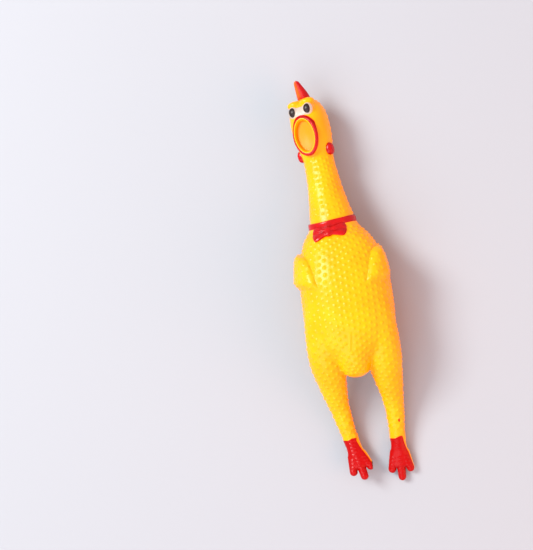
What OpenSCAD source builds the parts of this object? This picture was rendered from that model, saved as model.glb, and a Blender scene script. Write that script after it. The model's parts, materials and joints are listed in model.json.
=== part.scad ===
// Squeezable vinyl chicken with a reed whistle, lying on its back.
// Millimetres. +Y runs towards the comb, +Z out of the belly, and left and right are the bird's own,
// so its left side is +X. The origin is under the middle of the bird, on the surface it lies on.

/* [Body] */
// Width of the body from wing to wing
body_w = 75.4; // [73:0.2:78]
// Thickness of the body from back to belly
body_d = 59; // [56:0.5:62]
// Thickness of the vinyl wall
wall = 1.6; // [1.2:0.1:1.8]

/* [Neck] */
// Diameter of the neck at the collar
neck_root_d = 33; // [31:0.5:34]
// Diameter of the neck under the head
throat_d = 23; // [22:0.5:24]
// Lean of the neck towards the bird's right, in degrees
neck_lean = 5; // [3:0.5:6]

/* [Head] */
// Width of the skull
head_w = 28.8; // [26:0.2:30]
// Lean of the head towards the bird's right, in degrees
head_lean = 6; // [5:0.5:9]
// Turn of the face towards the bird's right, in degrees
head_turn = 18; // [0:1:24]
// Width of the open beak over its lips
mouth_w = 19.6; // [18:0.2:21]
// Length of the open beak over its lips
mouth_l = 29.6; // [28:0.2:31]

/* [Legs] */
// Diameter of a thigh at its thickest
thigh_d = 25.8; // [24:0.2:27]
// Diameter of a leg at the ankle
ankle_d = 12; // [11:0.2:13]
// Length of a foot from ankle to toe tip
foot_l = 33; // [31:0.5:34]

/* [Motion] */
// How far the belly presses in
squeeze = 18; // [14:1:20]

/* [Whistle] */
// Outer diameter of the whistle's tube
whistle_d = 12; // [11:0.2:12.4]
// Length of the whistle's tube
whistle_l = 20; // [18:0.5:21]

/* [Hidden] */

yellow = "#ffcf0a";
red = "#e3130f";
facets = 24;          // sides of a moulded section
ball_facets = 16;     // sides of a rounded corner
thin = 0.02;          // thickness of a slice that a hull starts from
eps = 0.01;           // overlap of cutters with what they cut
seam = 0.06;          // where a loft starts that meets another body's end face
far = 400;            // longer than anything in the bird

// ---- Sections -------------------------------------------------------------------------------
// A section is [centre, half width, half depth, lean]: an ellipse across the bird's length.
function section(x, y, z, a, b, lean = 0) = [[x, y, z], a, b, lean];

// Ring of points round a section, shrunk by inset.
function ring(s, inset = 0) =
    let (a = s[1] - inset, b = s[2] - inset)
    [for (i = [0 : facets - 1]) let (t = 360 * i / facets)
        [s[0].x + a * cos(t) * cos(s[3]), s[0].y + a * cos(t) * sin(s[3]), s[0].z + b * sin(t)]];

// Open tube with a wall, from sections in order of rising y.
module tube_shell(sections) {
    n = facets;
    m = len(sections);
    points = concat([for (s = sections) each ring(s)], [for (s = sections) each ring(s, wall)]);
    function at(layer, row, i) = layer * m * n + row * n + (i % n);
    faces = concat(
        [for (r = [0 : m - 2], i = [0 : n - 1]) each [
            [at(0, r, i), at(0, r, i + 1), at(0, r + 1, i + 1)],
            [at(0, r, i), at(0, r + 1, i + 1), at(0, r + 1, i)],
            [at(1, r, i), at(1, r + 1, i + 1), at(1, r, i + 1)],
            [at(1, r, i), at(1, r + 1, i), at(1, r + 1, i + 1)]]],
        [for (i = [0 : n - 1]) each [
            [at(0, 0, i), at(1, 0, i), at(1, 0, i + 1)],
            [at(0, 0, i), at(1, 0, i + 1), at(0, 0, i + 1)],
            [at(0, m - 1, i), at(1, m - 1, i + 1), at(1, m - 1, i)],
            [at(0, m - 1, i), at(0, m - 1, i + 1), at(1, m - 1, i + 1)]]]);
    polyhedron(points, faces);
}

// Solid through a list of sections.
module slice(s, inset = 0)
    translate(s[0]) rotate([0, 0, s[3]]) rotate([90, 0, 0]) scale([s[1] - inset, s[2] - inset, 1])
        cylinder(h = thin, r = 1, center = true, $fn = facets);
module loft(sections, inset = 0)
    for (i = [0 : len(sections) - 2]) hull() {
        slice(sections[i], inset);
        slice(sections[i + 1], inset);
    }

// Rounded bar through balls given as [centre, radius].
module ball(b, grow = 0) translate(b[0]) sphere(r = b[1] + grow, $fn = ball_facets);
module bar(balls, grow = 0)
    for (i = [0 : len(balls) - 2]) hull() {
        ball(balls[i], grow);
        ball(balls[i + 1], grow);
    }

// Puts a left-hand part on the side asked for: 1 is the bird's left, -1 its right.
module on_side(side) mirror([side < 0 ? 1 : 0, 0, 0]) children();

// Everything on the far side of a level, or beyond a point along the bird.
module above_z(z) translate([-far / 2, -far / 2, z]) cube(far);
module beyond_y(y) translate([-far / 2, y, -far / 2]) cube(far);

// ---- Neck -----------------------------------------------------------------------------------
collar_y = 44;
bend_y = 54.5;
sway_y = 74;
nod_y = 91;
// Half the length of the three bending zones, from the collar up
bend_half = 7.5;
sway_half = 6;
nod_half = 5;
neck_base_y = bend_y - bend_half;
head_y = nod_y + nod_half;

function neck_x(y) = -3 - (y - collar_y) * tan(neck_lean);
function neck_z(y) = lookup(y, [[collar_y, 26], [62, 25.2], [sway_y, 24], [nod_y, 22], [head_y, 21.4]]);
function neck_r(y) = let (root = neck_root_d / 2, throat = throat_d / 2)
    throat + (root - throat) * lookup(y, [[neck_base_y, 1], [53, 0.93], [61, 0.6], [68, 0.37], [76, 0.2],
                                          [84, 0.07], [head_y, 0]]);
function neck_tilt(y) = lookup(y, [[nod_y - nod_half, neck_lean], [head_y, head_lean]]);
function neck_section(y) = section(neck_x(y), y, neck_z(y), neck_r(y), neck_r(y), neck_tilt(y));
function neck_run(y0, y1, n) = [for (i = [0 : n]) neck_section(y0 + (y1 - y0) * i / n)];

module neck_root_flex() color(yellow) tube_shell(neck_run(neck_base_y, bend_y + bend_half, 4));
module neck_lower() color(yellow) tube_shell(neck_run(bend_y + bend_half, sway_y - sway_half, 2));
module mid_neck_flex() color(yellow) tube_shell(neck_run(sway_y - sway_half, sway_y + sway_half, 4));
module neck_upper() color(yellow) tube_shell(neck_run(sway_y + sway_half, nod_y - nod_half, 2));
module throat_flex() color(yellow) tube_shell(neck_run(nod_y - nod_half, head_y, 4));

// ---- Body -----------------------------------------------------------------------------------
back_cut = 2.2;              // how much of the round back is flattened where the bird lies
belly_half_d = (body_d + back_cut) / 2;
trunk_half_w = body_w / 2 - 3.4;
tail_y = -73;
// [y, share of the half width, share of the half depth, height of the middle over the flat back]
trunk = [[38, 0.64, 0.62, 26], [30, 0.79, 0.76, 26], [22, 0.88, 0.85, 26.2], [12, 0.95, 0.92, 27],
         [0, 0.99, 0.97, 28], [-14, 1, 1, 28.4], [-28, 1, 0.99, 28.4], [-40, 0.96, 0.94, 28],
         [-50, 0.84, 0.84, 27.8], [-58, 0.68, 0.7, 27.8], [-65, 0.5, 0.53, 27.8], [-70, 0.33, 0.36, 27.8],
         [tail_y, 0.15, 0.17, 27.8]];
trunk_sections = concat([neck_section(neck_base_y), neck_section(collar_y - 2.5)],
    [for (t = trunk) section(lookup(t[0], [[16, 0], [collar_y, neck_x(collar_y)]]), t[0], t[3],
                             t[1] * trunk_half_w, t[2] * belly_half_d)]);

// The legs bend at the hips and the ankles.
hip_y = -83;
hip_half = 7;
ankle_y = -118;
ankle_half = 4;
thigh_end_y = hip_y + hip_half;
leg_top_y = hip_y - hip_half;
leg_end_y = ankle_y + ankle_half;
foot_y = ankle_y - ankle_half;
thigh_r = thigh_d / 2;
ankle_r = ankle_d / 2;
// Distance of a leg's middle from the bird's, which differs below the hip: the right leg comes in.
thigh_x = [[-60, 22], [-46, 21.8], [-30, 18]];
left_leg_x = concat([[foot_y, 23.4], [-114, 23.7], [-102, 23.6], [-90, 23.2], [-76, 21.8]], thigh_x);
right_leg_x = concat([[foot_y, 12.8], [-114, 14.9], [-102, 17.6], [-90, 19.8], [-76, 20.8]], thigh_x);
leg_height = [[foot_y, 7.6], [-114, 9.3], [-102, 12.2], [-90, 15.6], [-76, 19.6], [-60, 23.4], [-46, 25],
              [-30, 26]];
// How far the radius has grown from the ankle's, 0, to the thigh's, 1
leg_swell = [[foot_y, 0], [-114, 0.06], [-102, 0.16], [-90, 0.36], [-83, 0.54], [-76, 0.76], [-68, 0.93],
             [-56, 1], [-46, 0.97], [-30, 0.55]];
function leg_x(y, side) = lookup(y, side > 0 ? left_leg_x : right_leg_x);
function leg_z(y) = lookup(y, leg_height);
function leg_r(y) = ankle_r + (thigh_r - ankle_r) * lookup(y, leg_swell);
function leg_section(y, side) = section(side * leg_x(y, side), y, leg_z(y), leg_r(y), leg_r(y));
function leg_run(y0, y1, n, side) = [for (i = [0 : n]) leg_section(y0 + (y1 - y0) * i / n, side)];
thigh_rows = [-76, -68, -60, -52, -46, -38, -30];

// Folded wing: a raised flap whose point is towards the belly.
wing_tip_x = body_w / 2 - 4.4;
wing_corners = [[[wing_tip_x - 2.1, 20, 31], 4.6], [[wing_tip_x, -1, 30], 4.4], [[23, -2, 48], 3.2],
                [[26, 17, 43.5], 4.2]];
module wing() hull() for (c = wing_corners) ball(c);

module trunk_solid(inset = 0) {
    loft(trunk_sections, inset);
    for (side = [-1, 1]) loft([for (y = thigh_rows) leg_section(y, side)], inset);
}
module bird_outside() {
    trunk_solid();
    for (side = [-1, 1]) on_side(side) wing();
    vent_boss();
}
// The hollow stops short of the back and the tail, and runs out into the neck and the legs.
module bird_inside() {
    intersection() {
        trunk_solid(wall);
        above_z(wall);
        beyond_y(tail_y + wall);
    }
    hull() {
        slice(neck_section(neck_base_y + 1), wall);
        slice(neck_section(collar_y), wall);
    }
    for (side = [-1, 1]) hull() {
        slice(leg_section(thigh_end_y - 1, side), wall);
        slice(leg_section(thigh_end_y + 8, side), wall);
    }
}

// Two upright oval cuts part the belly into a middle that presses in and a fold round it. The further
// the middle goes in, the wider the fold has to be.
belly_y = -18;
panel_a = 13;
panel_b = 28;
fold_w = 0.4 * squeeze;
module belly_oval(grow) translate([0, belly_y, body_d / 2]) scale([panel_a + grow, panel_b + 2 * grow, 1])
    cylinder(h = body_d, r = 1, $fn = 2 * facets);
module skin() difference() {
    bird_outside();
    difference() {
        bird_inside();
        vent_boss();
    }
    vent_hole();
}

module torso_shell() color(yellow) difference() {
    intersection() {
        skin();
        above_z(0);
    }
    belly_oval(fold_w);
}
module belly_fold() color(yellow) difference() {
    intersection() {
        skin();
        belly_oval(fold_w);
    }
    belly_oval(0);
}
module belly_panel() color(yellow) intersection() {
    skin();
    belly_oval(0);
}

// ---- Collar and bow ---------------------------------------------------------------------------
collar_h = 5;
collar_r = neck_root_d / 2 + 1.9;
collar_turn = 9;             // the bow sits this far round towards the bird's right, in degrees
edge = 0.6;                  // size of the collar's bevel
module collar_place()
    translate(neck_section(collar_y)[0]) rotate([0, 0, neck_lean]) rotate([0, -collar_turn, 0]) children();
// The neck as far down as the shoulders, which the collar and the bow are moulded round.
module neck_stub() hull() {
    slice(neck_section(neck_base_y));
    slice(trunk_sections[1]);
}
module collar_solid() collar_place() rotate([90, 0, 0]) rotate_extrude($fn = 64)
    polygon([[1, -collar_h / 2], [collar_r - edge, -collar_h / 2], [collar_r, -collar_h / 2 + edge],
             [collar_r, collar_h / 2 - edge], [collar_r - edge, collar_h / 2], [1, collar_h / 2]]);
module collar_band() color(red) difference() {
    collar_solid();
    trunk_solid();
    neck_stub();
}

// The bow lies on the breast under the collar: a knot, and two leaves with two folds each.
bow_half = 13;
bow_z = 20.8;                // how far the knot stands out from the neck's middle
module bow_leaf(side) {
    hull() {
        ball([[side * 1.5, -4.4, bow_z], 1.6]);
        ball([[side * (bow_half - 2.4), -2.6, bow_z - 3.5], 2]);
        ball([[side * (bow_half - 2.2), -7.6, bow_z - 1.8], 2]);
    }
    hull() {
        ball([[side * 2, -3.4, bow_z + 0.2], 1.2]);
        ball([[side * (bow_half - 4), -2.8, bow_z - 1.8], 1.8]);
    }
    hull() {
        ball([[side * 2, -5.4, bow_z + 0.2], 1.2]);
        ball([[side * (bow_half - 4), -7.4, bow_z - 0.6], 1.8]);
    }
}
module bow_tie() color(red) difference() {
    collar_place() {
        hull() {
            ball([[0, -3.2, bow_z], 2.3]);
            ball([[0, -5.6, bow_z + 0.6], 2.3]);
        }
        for (side = [-1, 1]) bow_leaf(side);
    }
    trunk_solid();
    neck_stub();
    collar_solid();
}

// ---- Head -------------------------------------------------------------------------------------
// The head's own frame has its origin at the throat, Y to the crown and Z out of the face.
module head_place()
    translate(neck_section(head_y)[0]) rotate([0, 0, head_lean]) rotate([0, -head_turn, 0]) children();
crown_y = 47.6;
// [y, share of the half width, half depth, how far the middle lies forward]
skull = [[4, 0.82, 12.4, 0], [10, 0.9, 14.2, 0.3], [18, 0.98, 15.6, 0.5], [26, 1, 15.8, 0.5],
         [33, 0.95, 14.8, 0.2], [39, 0.8, 12.2, 0], [43, 0.6, 9, -0.3], [46, 0.34, 5.2, -0.5],
         [crown_y, 0.12, 2, -0.6]];
head_sections = concat([section(0, seam, 0, throat_d / 2, throat_d / 2)],
    [for (s = skull) section(0, s[0], s[3], s[1] * head_w / 2, s[2])]);
brow = [6, 40.2, 8.2];
brow_r = 5;

// The open beak stands out of the face as an oval cup with a plain floor and a rolled lip.
mouth_y = 16.6;
floor_z = 9.5;
lip_z = 16.8;
lip_r = 1.4;
rim_a = mouth_w / 2 - lip_r;
rim_b = mouth_l / 2 - lip_r;
module oval(z, a, b)
    translate([0, mouth_y, z]) scale([a, b, 1]) cylinder(h = thin, r = 1, center = true, $fn = facets);
module muzzle(grow = 0) hull() {
    oval(5, rim_a + 1 + grow, rim_b + 0.4 + grow);
    oval(lip_z, rim_a + grow, rim_b + grow);
}
module mouth_hollow(grow = 0) hull() {
    oval(floor_z - grow, rim_a - 1.8 + grow, rim_b - 3 + grow);
    oval(lip_z + 3, rim_a - 0.6 + grow, rim_b - 1 + grow);
}
module head_solid(grow = 0) {
    loft(head_sections, -grow);
    for (side = [-1, 1]) ball([[side * brow.x, brow.y, brow.z], brow_r], grow);
    muzzle();
}
module head_shell() color(yellow) head_place() difference() {
    head_solid();
    difference() {
        loft(head_sections, wall);
        mouth_hollow(wall);
        beyond_y(crown_y - 2 * wall);
    }
    hull() for (y = [-1, 2]) slice(section(0, y, 0, throat_d / 2, throat_d / 2), wall);
    mouth_hollow();
}
module lip_ring() {
    steps = 28;
    function rim(i) = [rim_a * cos(360 * i / steps), mouth_y + rim_b * sin(360 * i / steps), lip_z];
    color(red) head_place() difference() {
        for (i = [0 : steps - 1]) hull() {
            translate(rim(i)) sphere(r = lip_r, $fn = 8);
            translate(rim(i + 1)) sphere(r = lip_r, $fn = 8);
        }
        head_solid();
        mouth_hollow();
    }
}

// Paint stands off the skin by its own thickness: the white of the eyes, then the pupils on it.
paint = 0.4;
eye = [6.2, 36.2];
eye_size = [4.8, 5];
pupil_size = [2.1, 3.1];
module eye_patch() color("white") head_place() difference() {
    intersection() {
        head_solid(paint);
        linear_extrude(far) {
            for (side = [-1, 1])
                translate([side * eye.x, eye.y - 0.4]) scale(eye_size) circle(r = 1, $fn = facets);
            translate([-eye.x, eye.y - 3.5]) square([2 * eye.x, 5]);
        }
    }
    head_solid();
    muzzle(0.3);
}
module pupil(side) color("#241512") head_place() difference() {
    intersection() {
        head_solid(2 * paint);
        translate([side * eye.x, eye.y, 0]) scale([pupil_size.x, pupil_size.y, 1])
            cylinder(h = far, r = 1, $fn = facets);
    }
    head_solid(paint);
}
module left_pupil() pupil(1);
module right_pupil() pupil(-1);

wattle_at = [12, 5, 1.6];
wattle_size = [2.8, 4.2, 3.7];
module wattle(side) color(red) head_place() difference() {
    translate([side * wattle_at.x, wattle_at.y, wattle_at.z]) scale(wattle_size)
        sphere(r = 1, $fn = ball_facets);
    head_solid();
}
module left_wattle() wattle(1);
module right_wattle() wattle(-1);

// The comb is one hollow horn that leans forward, and bends at its root.
comb_balls = [[[0, 44, -1.4], 4.7], [[0, 48.6, 0.4], 4.5], [[0, 52, 2.2], 3.8], [[0, 55, 4.4], 2.9],
              [[0, 57.4, 6.4], 2.1]];
comb_split = 50.4;
module comb_horn() difference() {
    bar(comb_balls);
    bar(comb_balls, -wall);
}
module comb() color(red) head_place() intersection() {
    comb_horn();
    beyond_y(comb_split);
}
module comb_root() color(red) head_place() difference() {
    comb_horn();
    beyond_y(comb_split);
    head_solid();
}

// ---- Legs and feet ------------------------------------------------------------------------------
module hip_flex(side) color(yellow) tube_shell(leg_run(leg_top_y, thigh_end_y, 4, side));
module leg(side) color(yellow) tube_shell(leg_run(leg_end_y, leg_top_y, 4, side));
module ankle_flex(side) color(yellow) tube_shell(leg_run(foot_y, leg_end_y, 3, side));

// The foot's own frame has its origin at the ankle and points down -Y: instep and three toes. The
// right foot is turned towards the middle and its toes are raised.
toe_in = [0, 9];
toe_up = [0, 18];
reach = foot_l / 33;
// [y, half width, half depth, height]
instep = [[2, ankle_r, ankle_r, 0], [-5, 6, 5.2, -0.6], [-10, 6.8, 4.5, -1.2], [-16, 7.8, 3.9, -2],
          [-22, 8.2, 3.4, -2.8]];
instep_sections = [for (s = instep) section(0, s[0] * reach, s[3], s[1], s[2])];
toe_r = 2.9;
toe_root = [4.6, -18, -2.4];
middle_toe_y = -30;
outer_toe = [6.9, -24.3, -3.3];
module toe(spread, end_y) hull() {
    ball([[spread * toe_root.x, toe_root.y * reach, toe_root.z], toe_r]);
    ball([[spread * outer_toe.x, end_y * reach, outer_toe.z], toe_r]);
}
module foot_solid() {
    loft(instep_sections);
    toe(0, middle_toe_y);
    for (spread = [-1, 1]) toe(spread, outer_toe.y);
}
// A pocket up to the ankle keeps the instep soft. The toes are solid.
module foot_pocket() for (i = [0, 1]) hull() {
    slice(instep_sections[i], wall);
    slice(instep_sections[i + 1], wall);
}
module foot(side) color(red) translate(leg_section(foot_y, side)[0]) difference() {
    rotate([side > 0 ? -toe_up[0] : -toe_up[1], 0, side > 0 ? toe_in[0] : toe_in[1]]) difference() {
        foot_solid();
        foot_pocket();
    }
    beyond_y(-seam);
}
module left_hip_flex() hip_flex(1);
module left_leg() leg(1);
module left_ankle_flex() ankle_flex(1);
module left_foot() foot(1);
module right_hip_flex() hip_flex(-1);
module right_leg() leg(-1);
module right_ankle_flex() ankle_flex(-1);
module right_foot() foot(-1);

// ---- Whistle ------------------------------------------------------------------------------------
// The whistle's own frame has its origin in the vent at the tail and Z out of the bird. The vent's
// boss is part of the skin, and a bead on the tube snaps past it.
vent_point = [0, -66.6, 13.4];
vent_tilt = 40;              // how far the axis drops below level, in degrees
vent_depth = 4;
gap = 0.25;                  // between the tube and the vinyl round it
flange_t = 1.2;
whistle_r = whistle_d / 2;
flange_r = whistle_r + 1.6;
vent_r = flange_r + 1.5;
module vent_place() translate(vent_point) rotate([90 + vent_tilt, 0, 0]) children();
// Straight round bar from one height to another.
module rod(z0, z1, r, tip_r = -1)
    translate([0, 0, z0]) cylinder(h = z1 - z0, r1 = r, r2 = tip_r < 0 ? r : tip_r, $fn = 64);
module vent_boss() vent_place() rod(-vent_depth, 0, vent_r);
module vent_hole() vent_place() {
    rod(-vent_depth - 3, 3, whistle_r + gap);
    rod(-flange_t - gap, 5, flange_r + gap);
}

bore_r = whistle_r - 1;
end_wall = 1.6;
bead_r = whistle_r + 0.8;
bead_z = -vent_depth - 2.4;
module whistle_housing() color("white") vent_place() difference() {
    union() {
        rod(-whistle_l, 0, whistle_r);
        rod(-flange_t, 0, flange_r);
        rod(bead_z, bead_z + 1.6, whistle_r, bead_r);
    }
    rod(end_wall - whistle_l, 1, bore_r);
    rod(-whistle_l - 1, end_wall - whistle_l + eps, reed_r + fit);
}

grille_z = -2.2;
grille_t = 1.4;
grille_hole_r = 0.8;
grille_hole_pitch = 2.9;
module whistle_grille() color("white") vent_place() difference() {
    rod(grille_z, grille_z + grille_t, bore_r - fit);
    rod(grille_z - 1, 0, grille_hole_r);
    for (i = [0 : 5])
        rotate([0, 0, 60 * i]) translate([grille_hole_pitch, 0, 0]) rod(grille_z - 1, 0, grille_hole_r);
}

// The reed is a strip of spring metal. Its root lies in a slot between a trough, whose flat face it
// beats against, and a half-round clip. Air comes up a hole in the trough's back end.
fit = 0.03;                  // gap round a piece that is pushed into a round hole
reed_r = 2.6;
reed_w = 3.4;
reed_t = 0.2;
slot = 0.5;
inlet = -whistle_l - 3;      // where the trough starts, inside the body
bed_end = -7;
clip_root = -whistle_l - 1.5;
clip_end = clip_root + 4;
trough_w = 2.2;
trough_floor = 1.9;
air_r = 0.8;
module reed_bed() color("white") vent_place() difference() {
    rod(inlet, bed_end, reed_r);
    translate([-reed_r, -slot / 2, inlet - 1]) cube([2 * reed_r, 2 * reed_r, far]);
    translate([-trough_w / 2, -trough_floor, clip_end]) cube([trough_w, reed_r, bed_end - 1 - clip_end]);
    translate([0, -trough_floor + air_r, 0]) rod(inlet - 1, clip_end + 1, air_r);
}
module reed_clip() color("white") vent_place() intersection() {
    rod(clip_root, clip_end, reed_r);
    translate([-reed_r, slot / 2, clip_root]) cube(2 * reed_r);
}
module reed_tongue() color("silver") vent_place()
    translate([-reed_w / 2, -reed_t / 2, clip_root + 0.5]) cube([reed_w, reed_t, bed_end - 0.4 - clip_root]);

torso_shell();
belly_panel();
belly_fold();
collar_band();
bow_tie();
neck_root_flex();
neck_lower();
mid_neck_flex();
neck_upper();
throat_flex();
head_shell();
lip_ring();
eye_patch();
left_pupil();
right_pupil();
left_wattle();
right_wattle();
comb_root();
comb();
left_hip_flex();
left_leg();
left_ankle_flex();
left_foot();
right_hip_flex();
right_leg();
right_ankle_flex();
right_foot();
whistle_housing();
whistle_grille();
reed_bed();
reed_clip();
reed_tongue();
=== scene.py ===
"""Looks of a squeezable vinyl chicken that lies on its back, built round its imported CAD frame.

The real bird is one hollow moulding. Body, wings, legs, beak and toes run into each other with soft
fillets, which no single grid of two parameters can give, so its skin is the zero level of one distance
field, turned into quads by surface nets and cut into pieces where joints bend it. Everything that is
stuck on, painted on or snapped in is a grid of two parameters of its own.

Lengths in this file are millimetres in the frame's axes: +Y to the comb, +Z out of the belly, +X to the
bird's left. Meshes are scaled to metres when they are made.
"""

import json
import logging
import math
from dataclasses import dataclass, field
from enum import Enum
from itertools import product
from typing import Iterable, Optional

import bpy
import numpy as np
from mathutils import Matrix, Vector


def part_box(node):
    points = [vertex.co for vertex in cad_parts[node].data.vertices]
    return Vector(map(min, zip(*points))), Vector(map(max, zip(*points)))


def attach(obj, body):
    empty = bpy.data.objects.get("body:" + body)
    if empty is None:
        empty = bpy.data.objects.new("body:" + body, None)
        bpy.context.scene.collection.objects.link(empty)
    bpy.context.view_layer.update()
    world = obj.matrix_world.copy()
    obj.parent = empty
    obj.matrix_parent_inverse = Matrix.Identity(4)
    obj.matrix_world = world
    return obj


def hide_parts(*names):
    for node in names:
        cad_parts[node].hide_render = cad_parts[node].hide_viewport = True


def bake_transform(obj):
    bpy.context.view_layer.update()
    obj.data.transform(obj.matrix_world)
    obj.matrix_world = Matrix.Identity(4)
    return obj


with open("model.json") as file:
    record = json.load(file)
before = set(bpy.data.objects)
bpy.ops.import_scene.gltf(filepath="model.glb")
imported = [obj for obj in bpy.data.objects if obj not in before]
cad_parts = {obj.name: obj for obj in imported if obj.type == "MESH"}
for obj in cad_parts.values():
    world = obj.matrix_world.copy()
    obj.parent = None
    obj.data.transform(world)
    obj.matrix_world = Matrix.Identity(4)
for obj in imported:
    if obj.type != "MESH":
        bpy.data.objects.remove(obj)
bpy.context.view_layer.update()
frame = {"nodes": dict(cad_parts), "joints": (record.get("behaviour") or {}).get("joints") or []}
LOG = logging.getLogger("vinyl_chicken")

Array = np.ndarray
MM = 0.001
PER_METRE = 1000.0


# ---- Joints and places -------------------------------------------------------------------------


def joint_at(name: str) -> Array:
    """Point of a joint of the frame, in millimetres."""
    return np.array(next(j["pos_m"] for j in frame["joints"] if j["name"] == name)) / MM


def turned(about: int, degrees: float) -> Array:
    """Rotation matrix about axis 0, 1 or 2 by an angle in degrees."""
    return np.array(Matrix.Rotation(math.radians(degrees), 3, "XYZ"[about]))


@dataclass(frozen=True)
class Place:
    """A frame of its own for a part: an origin and three axes as columns."""

    origin: Array
    axes: Array

    def inward(self, points: Array) -> Array:
        """Points of the bird as this place sees them."""
        return (points - self.origin) @ self.axes

    def outward(self, points: Array) -> Array:
        """Points of this place as the bird sees them."""
        return points @ self.axes.T + self.origin


# ---- Numbers in rows and rings -----------------------------------------------------------------


def circle(count: int) -> Array:
    """Angles of a full turn in equal steps, without the last, which is the first again."""
    return np.linspace(0, 2 * np.pi, count, endpoint=False)


def eased(values: Array, weights: Iterable[float], loop: bool = False) -> Array:
    """Running weighted mean of a row of numbers, whose ends are held or, on a loop, joined."""
    weights = np.asarray(weights, float)
    padded = np.pad(values, len(weights) // 2, mode="wrap" if loop else "edge")
    return np.convolve(padded, weights / weights.sum(), mode="valid")


def box_of(node: str) -> tuple[Array, Array]:
    """Lowest and highest corner of a CAD node's box, in millimetres."""
    low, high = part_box(node)
    return np.array(low) / MM, np.array(high) / MM


# Weights of a running mean: a short bell, and nine equal ones.
BELL = (1, 4, 6, 4, 1)
FLAT = (1,) * 9


# ---- Field helpers -------------------------------------------------------------------------------


def soft_min(a: Array, b: Array, k: float | Array) -> Array:
    """Union of two fields with a fillet: the smaller one, less a parabola where they differ by under k."""
    h = np.clip(0.5 + 0.5 * (b - a) / k, 0, 1)
    return b + (a - b) * h - k * h * (1 - h)


def soft_max(a: Array, b: Array, k: float) -> Array:
    """Cut of two fields with a rounded edge: the negative of the union of their negatives."""
    return -soft_min(-a, -b, k)


def step(low: float, high: float, x: Array) -> Array:
    """Smooth step from 0 at low to 1 at high, 3t^2 - 2t^3."""
    t = np.clip((x - low) / (high - low), 0, 1)
    return t * t * (3 - 2 * t)


def signed_power(x: Array, power: float) -> Array:
    """The size of x to a power, with the sign of x."""
    return np.sign(x) * np.abs(x) ** power


def between(f: Array, y: Array, low: float, high: float) -> Array:
    """A field cut off square at two levels along y."""
    return np.maximum(f, np.maximum(low - y, y - high))


def superellipsoid(p: Array, centre: Iterable[float], half: Iterable[float],
                   across: float, along: float) -> Array:
    """Signed distance, roughly, to a superellipsoid whose long axis is y.

    The section is (|x/a|^m + |z/c|^m)^(1/m), and that and |y/b| are joined by the power n. The level
    set's value less one is scaled by the smaller of the half width and the half depth.

    Args:
        p: Points, one in each row.
        centre: Its middle.
        half: Half sizes a, b and c.
        across: The power m of the section.
        along: The power n along y.

    Returns:
        The field at each point, negative inside.
    """
    q = np.abs((p - np.asarray(centre)) / np.asarray(half))
    section = (q[:, 0] ** across + q[:, 2] ** across) ** (1 / across)
    return ((section**along + q[:, 1] ** along) ** (1 / along) - 1) * min(half[0], half[2])


def oval(x: Array, y: Array, a: Array | float, b: Array | float) -> Array:
    """Distance to an ellipse to first order: e (e - 1) over the length of (x/a^2, y/b^2)."""
    e = np.hypot(x / a, y / b)
    return e * (e - 1) / np.maximum(np.hypot(x / a**2, y / b**2), 1e-6)


@dataclass
class Profile:
    """A size that changes along the bird, given at a few stations and rounded between them.

    The straight lines between stations are blurred with a bell curve.
    """

    stations: tuple[tuple[float, float], ...]
    blur: float = 3.0
    pitch: float = 0.25
    at: Array = field(init=False)
    value: Array = field(init=False)

    def __post_init__(self) -> None:
        """Works out the blurred table."""
        knots = np.array(sorted(self.stations))
        bell = np.exp(-0.5 * (np.arange(-4 * self.blur, 4 * self.blur + 1e-9, self.pitch) / self.blur) ** 2)
        wide = np.arange(knots[0, 0] - 8 * self.blur, knots[-1, 0] + 8 * self.blur, self.pitch)
        self.value = np.convolve(np.interp(wide, *knots.T), bell / bell.sum(), mode="valid")
        edge = (len(wide) - len(self.value)) // 2
        self.at = wide[edge : edge + len(self.value)]

    def __call__(self, y: Array | float) -> Array:
        """The size at y."""
        return np.interp(y, self.at, self.value)


# ---- The moulding's shape --------------------------------------------------------------------------


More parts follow.
